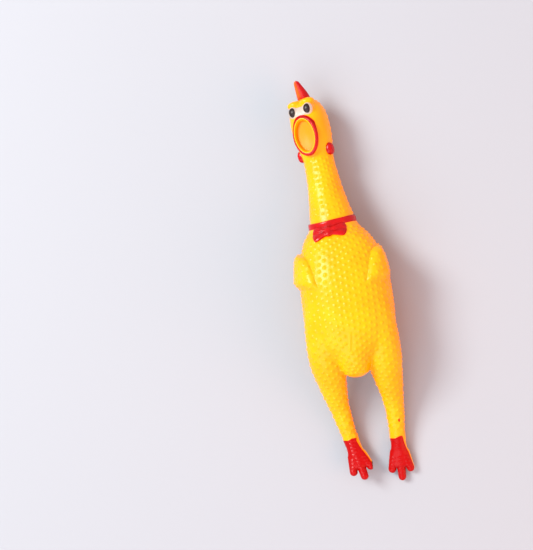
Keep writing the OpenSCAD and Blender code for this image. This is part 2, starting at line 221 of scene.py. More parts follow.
@dataclass
class Mould:
    """The shape of the one-piece moulding as a distance field, negative inside the bird.

    Pairs and triples are sizes of the bird's left and right, or x, y and z. A fillet is the width over
    which two shapes run into each other.
    """

    waist_y: float = -20.0
    chest_length: float = 66.0
    flank_length: float = 44.0
    half_width: float = 34.2
    half_depth: float = 29.6
    middle_z: float = 29.4
    rest_z: float = 0.25
    pouch_centre: tuple[float, float, float] = (-0.2, -45.0, 32.0)
    pouch_half: tuple[float, float, float] = (15.0, 28.8, 20.5)
    pouch_fillet: float = 2.5
    collar_x: float = -3.0
    collar_y: float = 44.0
    neck_lean: float = 5.0
    neck_ends: tuple[float, float] = (22.0, 121.0)
    neck_fillet: float = 5.0
    leg_ends: tuple[float, float] = (-127.0, 8.0)
    leg_fillet: float = 1.8
    head_lean: float = 6.0
    head_turn: float = 18.0
    throat_y: float = 96.0
    skull_centre: tuple[float, float, float] = (0.0, 25.0, 0.4)
    skull_half: tuple[float, float, float] = (14.4, 21.4, 15.4)
    chin_length: float = 31.0
    eyeball: tuple[tuple[float, ...], tuple[float, ...]] = ((5.9, 36.2, 10.4), (4.7, 4.8, 4.6))
    brow: tuple[tuple[float, ...], tuple[float, ...]] = ((5.4, 42.2, 8.0), (5.6, 3.0, 5.2))
    face_y: float = 94.0
    foot_y: float = -122.0
    toe_in: tuple[float, float] = (-1.5, 14.0)
    toe_up: tuple[float, float] = (0.0, 18.0)
    foot_reach: tuple[float, float] = (1.12, 1.0)
    instep_ends: tuple[float, float] = (-23.6, 2.0)
    instep_at: tuple[float, ...] = (0, 5, 10, 16, 22)
    instep_wide: tuple[float, ...] = (5.6, 5.6, 6.1, 7.4, 7.9)
    instep_deep: tuple[float, ...] = (5.6, 5.2, 4.6, 4.0, 3.5)
    instep_high: tuple[float, ...] = (0, -0.6, -1.2, -2, -2.6)
    toes: tuple[tuple[int, float], ...] = ((-1, 24.6), (0, 30.2), (1, 24.6))
    toe_radius: float = 3.5
    wing_edge: tuple[tuple[float, float], ...] = ((-8, 32), (-4.3, 34), (0, 37), (8, 42), (13, 46), (18, 52),
                                                  (21, 60), (23, 74), (24.5, 98), (25.5, 150))
    wing_hem: float = -4.6
    wing_top: float = 25.5
    wing_under: float = 124.0
    vent_tilt: float = 40.0
    vent_depth: float = 1.5
    vent_boss_r: float = 9.1
    vent_boss_length: float = 9.0
    vent_pocket_r: float = 7.85
    vent_pocket_depth: float = 1.45
    mouth_y: float = 16.6
    mouth_rim: tuple[float, float] = (9.0, 14.2)
    mouth_floor: tuple[float, float] = (6.9, 11.5)
    mouth_floor_z: float = 12.9
    lip_z: float = 16.6

    def __post_init__(self) -> None:
        """Sets up the profiles along the bird and the places of the head, feet and vent."""
        self.lean = math.tan(math.radians(self.neck_lean))
        self.trunk_x = Profile(((15, 0), (self.collar_y, self.collar_x)))
        self.trunk_z = Profile(((2, self.middle_z), (self.collar_y, 26)))
        self.neck_r = Profile(((30, 16.8), (44, 16.7), (53, 15.9), (61, 14.4), (68.5, 13.3), (76, 12.4),
                               (84, 11.8), (95, 11.3), (101, 11.2), (110, 10), (120, 6)), 2.5)
        self.neck_z = Profile(((20, 27), (44, 26), (62, 25.2), (74, 24), (91, 22), (100, 21), (120, 19)))
        self.leg_r = Profile(((-140, 5), (-122, 5.6), (-114, 6.1), (-106, 6.85), (-99, 7.3), (-91, 8.3),
                              (-83.6, 9.7), (-76, 11), (-68, 12.3), (-60, 13), (-50, 13.3), (-42, 13.3),
                              (-34, 13), (-22, 12), (-10, 9), (0, 5), (6, 2)), 2.5)
        self.leg_z = Profile(((-130, 6.2), (-122, 7.6), (-114, 9.3), (-102, 12.6), (-90, 18.4), (-76, 25.2),
                              (-60, 32.6), (-46, 36.9), (-30, 39.8), (-10, 41), (8, 41)))
        thigh = ((-60, 21.8), (-46, 21.4), (-20, 20.4), (8, 20))
        self.leg_x = (Profile(((-122, 21.9), (-114, 22.5), (-106, 22.9), (-91, 23), (-84, 22.6), (-76, 21.8),
                               *thigh)),
                      Profile(((-130, 12.4), (-122, 14.2), (-114, 15.9), (-106, 17.2), (-99, 18.3),
                               (-91, 19.7), (-84, 20.2), (-76, 20.7), *thigh)))
        self.head = Place(self.neck_point(self.throat_y),
                          turned(2, self.head_lean) @ turned(1, -self.head_turn))
        self.feet = tuple(Place(self.leg_point(self.foot_y, side), turned(2, inwards) @ turned(0, -up))
                          for side, (inwards, up) in enumerate(zip(self.toe_in, self.toe_up)))
        low, high = box_of("whistle_grille")
        axis = turned(0, 90 + self.vent_tilt)
        self.vent = Place((low + high) / 2 + self.vent_depth * axis[:, 2], axis)

    def neck_x(self, y: Array | float) -> Array | float:
        """How far aside the neck's middle line is; it leans in a straight line from the collar."""
        return self.collar_x - (y - self.collar_y) * self.lean

    def neck_point(self, y: float) -> Array:
        """A point on the neck's middle line."""
        return np.array([self.neck_x(y), y, float(self.neck_z(y))])

    def leg_point(self, y: float, side: int) -> Array:
        """A point on a leg's middle line; side 0 is the bird's left, 1 its right."""
        return np.array([(1, -1)[side] * float(self.leg_x[side](y)), y, float(self.leg_z(y))])

    def toe_line(self, spread: int, length: float) -> tuple[Array, Array]:
        """Root and tip of a toe's middle line in its foot's frame."""
        return np.array([4.2 * spread, -14, -2.2]), np.array([7.0 * spread, -length, -3.6])

    def trunk(self, p: Array) -> Array:
        """Trunk: a superellipsoid with different ends, boxier in front, less the wings' relief."""
        x, z = p[:, 0] - self.trunk_x(p[:, 1]), p[:, 2] - self.trunk_z(p[:, 1])
        length = np.where(p[:, 1] > self.waist_y, self.chest_length, self.flank_length)
        t = (p[:, 1] - self.waist_y) / length
        power, end_power = 2.15 + 0.2 * step(-4, 10, z), 2.5
        section = (np.abs(x / self.half_width) ** power + np.abs(z / self.half_depth) ** power) ** (1 / power)
        plain = ((section**end_power + np.abs(t) ** end_power) ** (1 / end_power) - 1) * self.half_depth
        return plain - self.wing(x, p[:, 1], z)

    def wing(self, x: Array, y: Array, z: Array) -> Array:
        """How far a folded wing stands out of the flank.

        A wing lies between an inner edge, given as an angle from the top for each y, a soft hem below, a
        round top and the hidden side of the flank. The height is a product of quarter circles,
        E(t) = (2t - t^2)^0.5, of the distances to them, so that the wing is a pillow with a sharp crease. The
        bird's own left wing is pressed flatter on the outside.
        """

        def arch(distance: Array, width: float) -> Array:
            """A quarter circle that rises from 0 at an edge to 1 at a width from it."""
            t = np.clip(distance / width, 0, 1)
            return np.sqrt(t * (2 - t))

        angle = np.degrees(np.arctan2(np.abs(x), z))
        mm_per_degree = 0.56
        inner = arch((angle - np.interp(y, *np.array(self.wing_edge).T)) * mm_per_degree, 6.5)
        under = arch((self.wing_under - angle) * mm_per_degree, 16)
        top = arch(self.wing_top - y, 8.5)
        hem = step(-0.4, 6.5, y - self.wing_hem - 0.03 * (angle - 43)) ** 0.7
        proud = np.where(x < 0, 3.0 + 1.1 * step(55, 85, angle), 3.6 - 2.6 * step(62, 88, angle))
        return proud * inner * hem * under * top

    def body(self, p: Array) -> Array:
        """Trunk, tail pouch, neck and legs joined, with the whistle's seat and the flat of the back."""
        x, y, z = p.T
        f = soft_min(self.trunk(p), superellipsoid(p, self.pouch_centre, self.pouch_half, 2.2, 2.5),
                     self.pouch_fillet)
        neck = np.hypot(x - self.neck_x(y), z - self.neck_z(y)) - self.neck_r(y)
        f = soft_min(f, between(neck, y, *self.neck_ends), self.neck_fillet)
        for side, sign in enumerate((1, -1)):
            leg = np.hypot(x - sign * self.leg_x[side](y), z - self.leg_z(y)) - self.leg_r(y)
            f = soft_min(f, between(leg, y, *self.leg_ends), self.leg_fillet)
        q = self.vent.inward(p)
        out, r = q[:, 2], np.hypot(q[:, 0], q[:, 1])
        boss = np.maximum(soft_max(r - self.vent_boss_r, out, 1.0), -self.vent_boss_length - out)
        pocket = np.maximum(r - self.vent_pocket_r, -self.vent_pocket_depth - out)
        f = soft_max(soft_min(f, boss, 2.5), -pocket, 0.3)
        return soft_max(f, self.rest_z - z, 2.0)

    def beak_oval(self, q: Array, a: Array | float, b: Array | float) -> Array:
        """Distance to an oval round the beak's axis, whose half sizes are a and b."""
        return oval(q[:, 0], q[:, 1] - self.mouth_y, a, b)

    def muzzle(self, q: Array) -> Array:
        """Outside of the open beak: an oval cup that widens a little towards the face."""
        flare = 0.1 * np.clip(self.lip_z - q[:, 2], 0, 12)
        side = self.beak_oval(q, self.mouth_rim[0] + flare, self.mouth_rim[1] + 0.6 * flare)
        return np.maximum(soft_max(side, q[:, 2] - self.lip_z, 1.2), -q[:, 2])

    def mouth(self, q: Array) -> Array:
        """Hollow of the open beak: drafted sides with a bevel half-way, and a floor barely dished."""
        rise = np.clip((q[:, 2] - self.mouth_floor_z) / (self.lip_z - self.mouth_floor_z), 0, 1.6)
        bevel = 0.35 * rise + 0.65 * step(0.45, 0.8, rise)
        wall = 1.5
        a, b = (low + (high - wall - low) * bevel for low, high in zip(self.mouth_floor, self.mouth_rim))
        dish = 0.5 * np.exp(-((q[:, 0] / 5) ** 2) - (((q[:, 1] - self.mouth_y) / 9) ** 2))
        return np.maximum(self.beak_oval(q, a, b), self.mouth_floor_z - dish - q[:, 2])

    def head_field(self, p: Array, f: Array) -> Array:
        """Skull, eyeballs, brows and beak added to the field of the neck."""
        q = self.head.inward(p)
        wide, crown, deep = self.skull_half
        back, chin = (superellipsoid(q, self.skull_centre, (wide, length, deep), 2.1, 2.3)
                      for length in (crown, self.chin_length))
        f = soft_min(f, np.where(q[:, 1] > self.skull_centre[1], back, chin), 3.5)
        mirrored = np.column_stack([np.abs(q[:, 0]), q[:, 1], q[:, 2]])
        f = soft_min(f, superellipsoid(mirrored, *self.eyeball, 2, 2), 1.2)
        f = soft_min(f, superellipsoid(mirrored, *self.brow, 2, 2.2), 1.6)
        f = soft_min(f, self.muzzle(q), 1.3)
        return soft_max(f, -self.mouth(q), 0.45)

    def foot_place(self, p: Array, side: int) -> Array:
        """Points as a foot sees them, with the length of the longer foot taken out."""
        q = self.feet[side].inward(p)
        q[:, 1] = np.where(q[:, 1] < 0, q[:, 1] / self.foot_reach[side], q[:, 1])
        return q

    def foot_field(self, p: Array, f: Array, side: int) -> Array:
        """Instep and three tapering toes added to the field of a leg."""
        q = self.foot_place(p, side)
        reach = np.clip(-q[:, 1], 0, 26)
        wide, deep, high = (np.interp(reach, self.instep_at, sizes)
                            for sizes in (self.instep_wide, self.instep_deep, self.instep_high))
        instep = oval(q[:, 0], q[:, 2] - high, wide, deep)
        tip, heel = self.instep_ends
        f = soft_min(f, soft_max(instep, np.maximum(tip - q[:, 1], q[:, 1] - heel), 3.0), 2.0)
        for a, b in (self.toe_line(*toe) for toe in self.toes):
            t = np.clip((q - a) @ (b - a) / ((b - a) @ (b - a)), 0, 1)
            gap = q - a - t[:, None] * (b - a)
            toe = np.hypot(gap[:, 0], np.hypot(gap[:, 1], gap[:, 2] * 1.1)) - (self.toe_radius - 0.45 * t)
            f = soft_min(f, toe, 1.1)
        return soft_max(f, self.rest_z - p[:, 2], 1.0)

    def skin(self, p: Array) -> Array:
        """The whole moulding without its studs; head and feet are worked out only near them."""
        f = self.body(p)
        near = p[:, 1] > 90
        if near.any():
            f[near] = self.head_field(p[near], f[near])
        for side, sign in enumerate((1, -1)):
            near = (p[:, 1] < -112) & (sign * p[:, 0] > 0)
            if near.any():
                f[near] = self.foot_field(p[near], f[near], side)
        return f

    def slope(self, p: Array) -> tuple[Array, Array]:
        """The field and its gradient, from differences over a twentieth of a millimetre."""
        e = 0.05
        f = self.skin(p)
        return f, np.stack([(self.skin(p + e * axis) - f) / e for axis in np.eye(3)], axis=1)

    def drop(self, p: Array, way: Iterable[float], reach: float = 60.0,
             turns: int = 60) -> tuple[Array, Array]:
        """Where rays from inside the bird come out of it.

        Args:
            p: Points inside, one in each row.
            way: Direction of each ray, or one for all.
            reach: How far to look.
            turns: How many samples to take on each ray.

        Returns:
            The last crossing on each ray, and whether there was one.
        """
        way = np.broadcast_to(np.asarray(way, float), p.shape)
        t = np.linspace(0, reach, turns)
        f = self.skin((p[:, None] + t[:, None] * way[:, None]).reshape(-1, 3)).reshape(len(p), turns)
        inside = f < 0
        last = turns - 1 - np.argmax(inside[:, ::-1], axis=1)
        found = inside.any(axis=1) & (last < turns - 1)
        last = np.minimum(last, turns - 2)
        rows = np.arange(len(p))
        a, b = f[rows, last], f[rows, last + 1]
        share = np.where(found, a / np.where(a == b, 1, a - b), 0)
        return p + (t[last] + share * (t[1] - t[0]))[:, None] * way, found


# ---- Studs and scutes ------------------------------------------------------------------------------


@dataclass
class Studs:
    """The moulded dots of the skin, and the cross ridges on the shanks and toes.

    A row of the field `rows` has the part's name, where its studs start and end along y, the step
    between its rings and the number of studs in a ring. A thigh gets two more past each fuller level.
    """

    mould: Mould
    radius: float = 1.5
    height: float = 0.6
    gap: float = 3.3
    ridge_pitch: float = 2.8
    ridge_height: float = 0.42
    seed: int = 7
    rows: tuple[tuple[str, float, float, float, int], ...] = (
        ("left_leg", -119.0, -34.0, 3.1, 7), ("right_leg", -119.0, -34.0, 3.1, 7),
        ("trunk", -70.0, 41.0, 2.6, 23), ("neck", 49.5, 94.5, 2.1, 12), ("head", 99.5, 139.0, 2.3, 11))
    fuller: tuple[float, float] = (-95.0, -76.0)
    bare_face: float = 82.0
    mark_at: tuple[float, float] = (-0.4, -46.0)
    mark_lean: float = 0.18
    front_z: float = 40.0
    centres: Array = field(init=False)

    def __post_init__(self) -> None:
        """Places the studs once."""
        self.centres = self.place()

    def ring(self, kind: str, y: float, count: int, odd: int) -> tuple[Array, Array, float]:
        """Start, directions and reach of the rays of one ring.

        Args:
            kind: Name of the part that the ring goes round.
            y: Where it is.
            count: Rays in the ring.
            odd: 1 to turn the ring by half a step.

        Returns:
            The starts, the directions and how far to look.
        """
        angle = 2 * np.pi * (np.arange(count) + 0.5 * odd) / count
        way = np.stack([np.sin(angle), 0 * angle, np.cos(angle)], axis=1)
        reach = 60.0
        if kind == "head":
            from_front = np.abs((angle + np.pi) % (2 * np.pi) - np.pi)
            way = way[from_front > math.radians(self.bare_face)] @ self.mould.head.axes.T
            centre = self.mould.head.outward(np.array([[0.0, y - self.mould.throat_y, 0.4]]))[0]
        elif kind == "neck":
            centre = self.mould.neck_point(y)
        elif kind == "trunk":
            centre = np.array([float(self.mould.trunk_x(y)), y, float(self.mould.trunk_z(y))])
        else:
            centre = self.mould.leg_point(y, int(kind == "right_leg"))
            reach = float(self.mould.leg_r(y)) + 1.2
        return np.broadcast_to(centre, way.shape), way, reach

    def rings(self) -> Iterable[tuple[Array, Array, float]]:
        """Rings of rays that the studs stand on: the legs first, then trunk, neck and head.

        The studs stand in columns along the bird. Every second ring is turned by half a step, so that
        neighbouring columns are staggered.
        """
        for kind, low, high, pitch, count in self.rows:
            for row, y in enumerate(np.arange(low, high, pitch)):
                more = 2 * sum(y > level for level in self.fuller) if "leg" in kind else 0
                yield self.ring(kind, y, count + more, row % 2)

    def mark(self, p: Array) -> tuple[Array, Array]:
        """How far points are, aside and along, from the middle of the mark where the mould's halves met."""
        along = p[:, 1] - self.mark_at[1]
        return np.abs(p[:, 0] - self.mark_at[0] - self.mark_lean * along), np.abs(along)

    def place(self) -> Array:
        """Middles of all the studs on the skin, thinned out where they would crowd each other."""
        sets = [self.mould.drop(start, way, reach, 60) for start, way, reach in self.rings()]
        point, found = (np.concatenate(part) for part in zip(*sets))
        random = np.random.default_rng(self.seed)
        neck_y = self.mould.collar_y + 2
        loose = np.where(point[:, 1:2] > neck_y, 0.4, 0.24)
        point = point + loose * random.normal(0, 1, point.shape)
        x, y, z = point.T
        clear = {"collar": 4.2, "bow": (14, 5.5), "vent": 12, "mark": (2.4, 8), "seam": 1.8, "floor": 1.2}
        collar = y - self.mould.collar_y - (x - self.mould.collar_x) * self.mould.lean
        collar = np.abs(collar) < clear["collar"]
        bow = (np.abs(x + 6) < clear["bow"][0]) & (np.abs(y - 38) < clear["bow"][1]) & (z > 30)
        vent = np.linalg.norm(point - self.mould.vent.origin, axis=1) < clear["vent"]
        aside, along = self.mark(point)
        mark = (aside < clear["mark"][0]) & (along < clear["mark"][1]) & (z > self.front_z)
        seam = np.abs(y - Cut.THROAT.value) < clear["seam"]
        keep = found & ~(collar | bow | vent | mark | seam) & (z > clear["floor"])
        chosen = np.empty((0, 3))
        for candidate in point[keep]:
            gap = self.gap if candidate[1] < neck_y else 0.85 * self.gap
            if not len(chosen) or np.min(((chosen - candidate) ** 2).sum(1)) > gap**2:
                chosen = np.vstack([chosen, candidate])
        LOG.info("%d studs stand on the skin", len(chosen))
        return chosen

    def dots(self, p: Array) -> Array:
        """Height of the studs at points: h (1 - d^2/r^2)^1.3, with d the distance to the nearest stud.

        One fine ridge, where the two halves of the mould met, runs along the pouch.
        """
        nearest = np.empty(len(p))
        batch = 6000
        for first in range(0, len(p), batch):
            part = p[first : first + batch]
            square = (part**2).sum(1)[:, None] + (self.centres**2).sum(1) - 2 * part @ self.centres.T
            nearest[first : first + batch] = square.min(axis=1)
        on_neck = step(44, 60, p[:, 1])
        aside, along = self.mark(p)
        mark = 0.55 * np.exp(-((aside / 0.6) ** 2)) * step(7.2, 6.2, along) * (p[:, 2] > self.front_z)
        height, radius = self.height * (1 - 0.15 * on_neck), self.radius * (1 - 0.14 * on_neck)
        return height * np.clip(1 - nearest / radius**2, 0, 1) ** 1.3 + mark

    def wave(self, along: Array) -> Array:
        """Height of the cross ridges along a limb: a raised cosine to the power 1.4."""
        return (0.5 + 0.5 * np.cos(2 * np.pi * along / self.ridge_pitch)) ** 1.4

    def ridges(self, p: Array, normal: Array) -> Array:
        """Height of the cross ridges on each shank and toe, on a strip of its front."""
        rise = np.zeros(len(p))
        front = step(0.2, 0.6, normal[:, 2])
        for side, sign in enumerate((1, -1)):
            own = sign * p[:, 0] > 0
            shank = own & (p[:, 1] < -108) & (p[:, 1] > -140)
            across = p[:, 0] - sign * self.mould.leg_x[side](p[:, 1])
            strip = step(0, 1, (2.9 - np.abs(across)) / 1.2)
            strip = strip * step(-114, -118, p[:, 1]) * step(-137, -133, p[:, 1])
            rise += np.where(shank, strip * self.wave(p[:, 1]), 0) * front
            q = self.mould.foot_place(p, side)[:, :2]
            for root, tip in (self.mould.toe_line(*toe) for toe in self.mould.toes):
                a, b = root[:2], tip[:2]
                length = np.linalg.norm(b - a)
                unit = (b - a) / length
                along, aside = (q - a) @ unit, (q - a) @ np.array([-unit[1], unit[0]])
                strip = step(0, 1, (1.9 - np.abs(aside)) / 0.9) * step(0.5, 2.5, along)
                strip = strip * step(length + 1.2, length - 1, along)
                toe = own & (p[:, 1] < self.mould.foot_y)
                rise = np.where(toe, np.maximum(rise, strip * self.wave(along) * front), rise)
        return self.ridge_height * rise


# ---- Meshes ------------------------------------------------------------------------------------------


def make_mesh(name: str, points: Array, faces: Array, finish: bpy.types.Material,
              normals: Optional[Array] = None, values: Optional[dict[str, Array]] = None) -> bpy.types.Object:
    """A new object from whole arrays.

    Args:
        name: Name of the piece.
        points: Its vertices in millimetres.
        faces: Corner indices, four to a face; a repeated last corner makes a triangle.
        finish: Its material.
        normals: A normal for each vertex, or None to take them from the faces.
        values: Attributes of one or three numbers for each vertex.

    Returns:
        The object, linked to the scene, at the origin.
    """
    mesh = bpy.data.meshes.new(name)
    corners = np.where(faces[:, 3] == faces[:, 2], 3, 4)
    loops = faces[np.arange(4) < corners[:, None]]
    mesh.vertices.add(len(points))
    mesh.vertices.foreach_set("co", (points * MM).astype(np.float32).ravel())
    mesh.loops.add(len(loops))
    mesh.loops.foreach_set("vertex_index", loops.astype(np.int32))
    mesh.polygons.add(len(faces))
    mesh.polygons.foreach_set("loop_start", np.concatenate([[0], np.cumsum(corners)[:-1]]).astype(np.int32))
    mesh.polygons.foreach_set("use_smooth", np.ones(len(faces), bool))
    mesh.update(calc_edges=True)
    mesh.validate()
    if normals is not None:
        mesh.normals_split_custom_set_from_vertices(normals.astype(np.float32))
    for key, value in (values or {}).items():
        kind, slot = ("FLOAT", "value") if value.ndim == 1 else ("FLOAT_VECTOR", "vector")
        mesh.attributes.new(key, kind, "POINT").data.foreach_set(slot, value.astype(np.float32).ravel())
    mesh.materials.append(finish)
    piece = bpy.data.objects.new(name, mesh)
    bpy.context.scene.collection.objects.link(piece)
    return piece


def vertex_normals(points: Array, faces: Array) -> Array:
    """Normal at each vertex: the sum of its faces' diagonals' cross products, made unit."""
    cross = np.cross(points[faces[:, 2]] - points[faces[:, 0]], points[faces[:, 3]] - points[faces[:, 1]])
    total = [sum(np.bincount(faces[:, c], cross[:, a], len(points)) for c in range(4)) for a in range(3)]
    total = np.stack(total, 1)
    return total / np.maximum(np.linalg.norm(total, axis=1, keepdims=True), 1e-9)


def ring_faces(rows: int, columns: int, loop: bool = False) -> Array:
    """Quads of a grid of rows whose columns close on themselves; on a loop the rows do so too."""
    r, c = (part.ravel() for part in np.meshgrid(np.arange(rows if loop else rows - 1), np.arange(columns),
                                                 indexing="ij"))
    right, down = (c + 1) % columns, (r + 1) % rows
    return np.stack([r * columns + c, r * columns + right, down * columns + right, down * columns + c], 1)


def tube_faces(rows: int, columns: int) -> Array:
    """Quads of a grid of rings, then a fan over each end, whose two points follow the grid's."""
    ring = np.arange(columns)
    after = (ring + 1) % columns
    first, last = rows * columns + 0 * ring, rows * columns + 1 + 0 * ring
    top = (rows - 1) * columns
    return np.concatenate([ring_faces(rows, columns), np.stack([after, ring, first, first], 1),
                           np.stack([top + ring, top + after, last, last], 1)])


def closed_grid(grid: Array) -> tuple[Array, Array]:
    """Points and faces of a closed skin over a grid of rings, with a pole at the middle of each end ring."""
    rows, columns = grid.shape[:2]
    points = np.concatenate([grid.reshape(-1, 3), grid[0].mean(0)[None], grid[-1].mean(0)[None]])
    faces = tube_faces(rows, columns)
    middle = points.mean(0)
    centre = points[faces].mean(1)
    cross = np.cross(points[faces[:, 1]] - points[faces[:, 0]], points[faces[:, 2]] - points[faces[:, 0]])
    if ((centre - middle) * cross).sum() < 0:
        faces = faces[:, ::-1]
        faces = np.where((faces[:, :1] == faces[:, 1:2]), faces[:, [2, 3, 0, 0]], faces)
    return points, faces


def window(start: Iterable[int], size: Iterable[int]) -> tuple[slice, ...]:
    """Slices of a box of a size whose lowest corner is at start."""
    return tuple(slice(s, s + n) for s, n in zip(start, size))


def blown_up(grid: Array, times: int) -> Array:
    """A grid of three axes with each cell repeated a number of times along each of them."""
    return grid.repeat(times, 0).repeat(times, 1).repeat(times, 2)


def surface_net(mould: Mould, low: Array, high: Array, pitch: float) -> tuple[Array, Array, Array]:
    """Quads over the zero level of the skin inside a box, by surface nets.

    The field is sampled on a coarse grid first, and on the fine one only near the surface. Each fine
    cell that the surface passes through gets one vertex, at the mean of the crossings of its edges, and
    each edge that the surface crosses gets the quad of its four cells.

    Args:
        mould: The shape.
        low: Lowest corner of the box.
        high: Highest corner of the box.
        pitch: Size of a fine cell.

    Returns:
        Points, quads, and the layer along y of the cell of each point.
    """
    coarse = 4
    count = np.ceil((high - low) / (pitch * coarse)).astype(int)
    middles = np.stack(np.meshgrid(*[low[a] + (np.arange(count[a]) + 0.5) * pitch * coarse
                                     for a in range(3)], indexing="ij"), -1).reshape(-1, 3)
    rough = mould.skin(middles).reshape(count)
    block = blown_up(np.abs(rough) < pitch * coarse * 1.35, coarse)
    fine = np.pad(blown_up(rough, coarse), ((0, 1),) * 3, mode="edge").astype(np.float32)
    wanted = np.zeros(fine.shape, bool)
    for shift in product((0, 1), repeat=3):
        wanted[window(shift, block.shape)] |= block
    fine[wanted] = mould.skin(low + np.argwhere(wanted) * pitch)
    inside = fine < 0
    cells = np.array(inside.shape) - 1
    filled = sum(inside[window(shift, cells)].astype(np.int8) for shift in product((0, 1), repeat=3))
    mixed = (filled > 0) & (filled < 8)
    where = np.argwhere(mixed)
    total, crossed = np.zeros((len(where), 3)), np.zeros(len(where))
    for a in product((0, 1), repeat=3):
        for axis in range(3):
            if a[axis]:
                continue
            b = tuple(int(v or i == axis) for i, v in enumerate(a))
            at_a, at_b = (fine[tuple((where + np.array(corner)).T)] for corner in (a, b))
            cross = (at_a < 0) != (at_b < 0)
            t = np.where(cross, at_a / np.where(cross, at_a - at_b, 1), 0)
            total += cross[:, None] * (np.array(a) + t[:, None] * np.eye(3)[axis])
            crossed += cross
    points = low + (where + total / crossed[:, None]) * pitch
    index = np.full(mixed.shape, -1, np.int64)
    index[mixed] = np.arange(len(where))
    faces = []
    for axis in range(3):
        u, v = (axis + 1) % 3, (axis + 2) % 3
        change = inside != np.roll(inside, -1, axis)
        for other in (u, v):
            for end in (0, -1):
                change[tuple(end if i == other else slice(None) for i in range(3))] = False
        change[tuple(-1 if i == axis else slice(None) for i in range(3))] = False
        node = np.argwhere(change)
        eu, ev = np.eye(3, dtype=int)[u], np.eye(3, dtype=int)[v]
        quad = np.stack([index[tuple((node - back).T)] for back in (eu + ev, ev, 0 * eu, eu)], axis=1)
        outwards = inside[tuple(node.T)][:, None]
        faces.append(np.where(outwards, quad, quad[:, ::-1]))
    return points, np.concatenate(faces), where[:, 1]


class Cut(Enum):
    """Levels along y where the skin is parted, each where it follows one body alone."""

    ANKLE = -123.0
    SHANK = -102.0
    HIP = -76.4
    COLLAR = 44.0
    NECK_LOW = 65.0
    NECK_HIGH = 83.0
    THROAT = 96.5


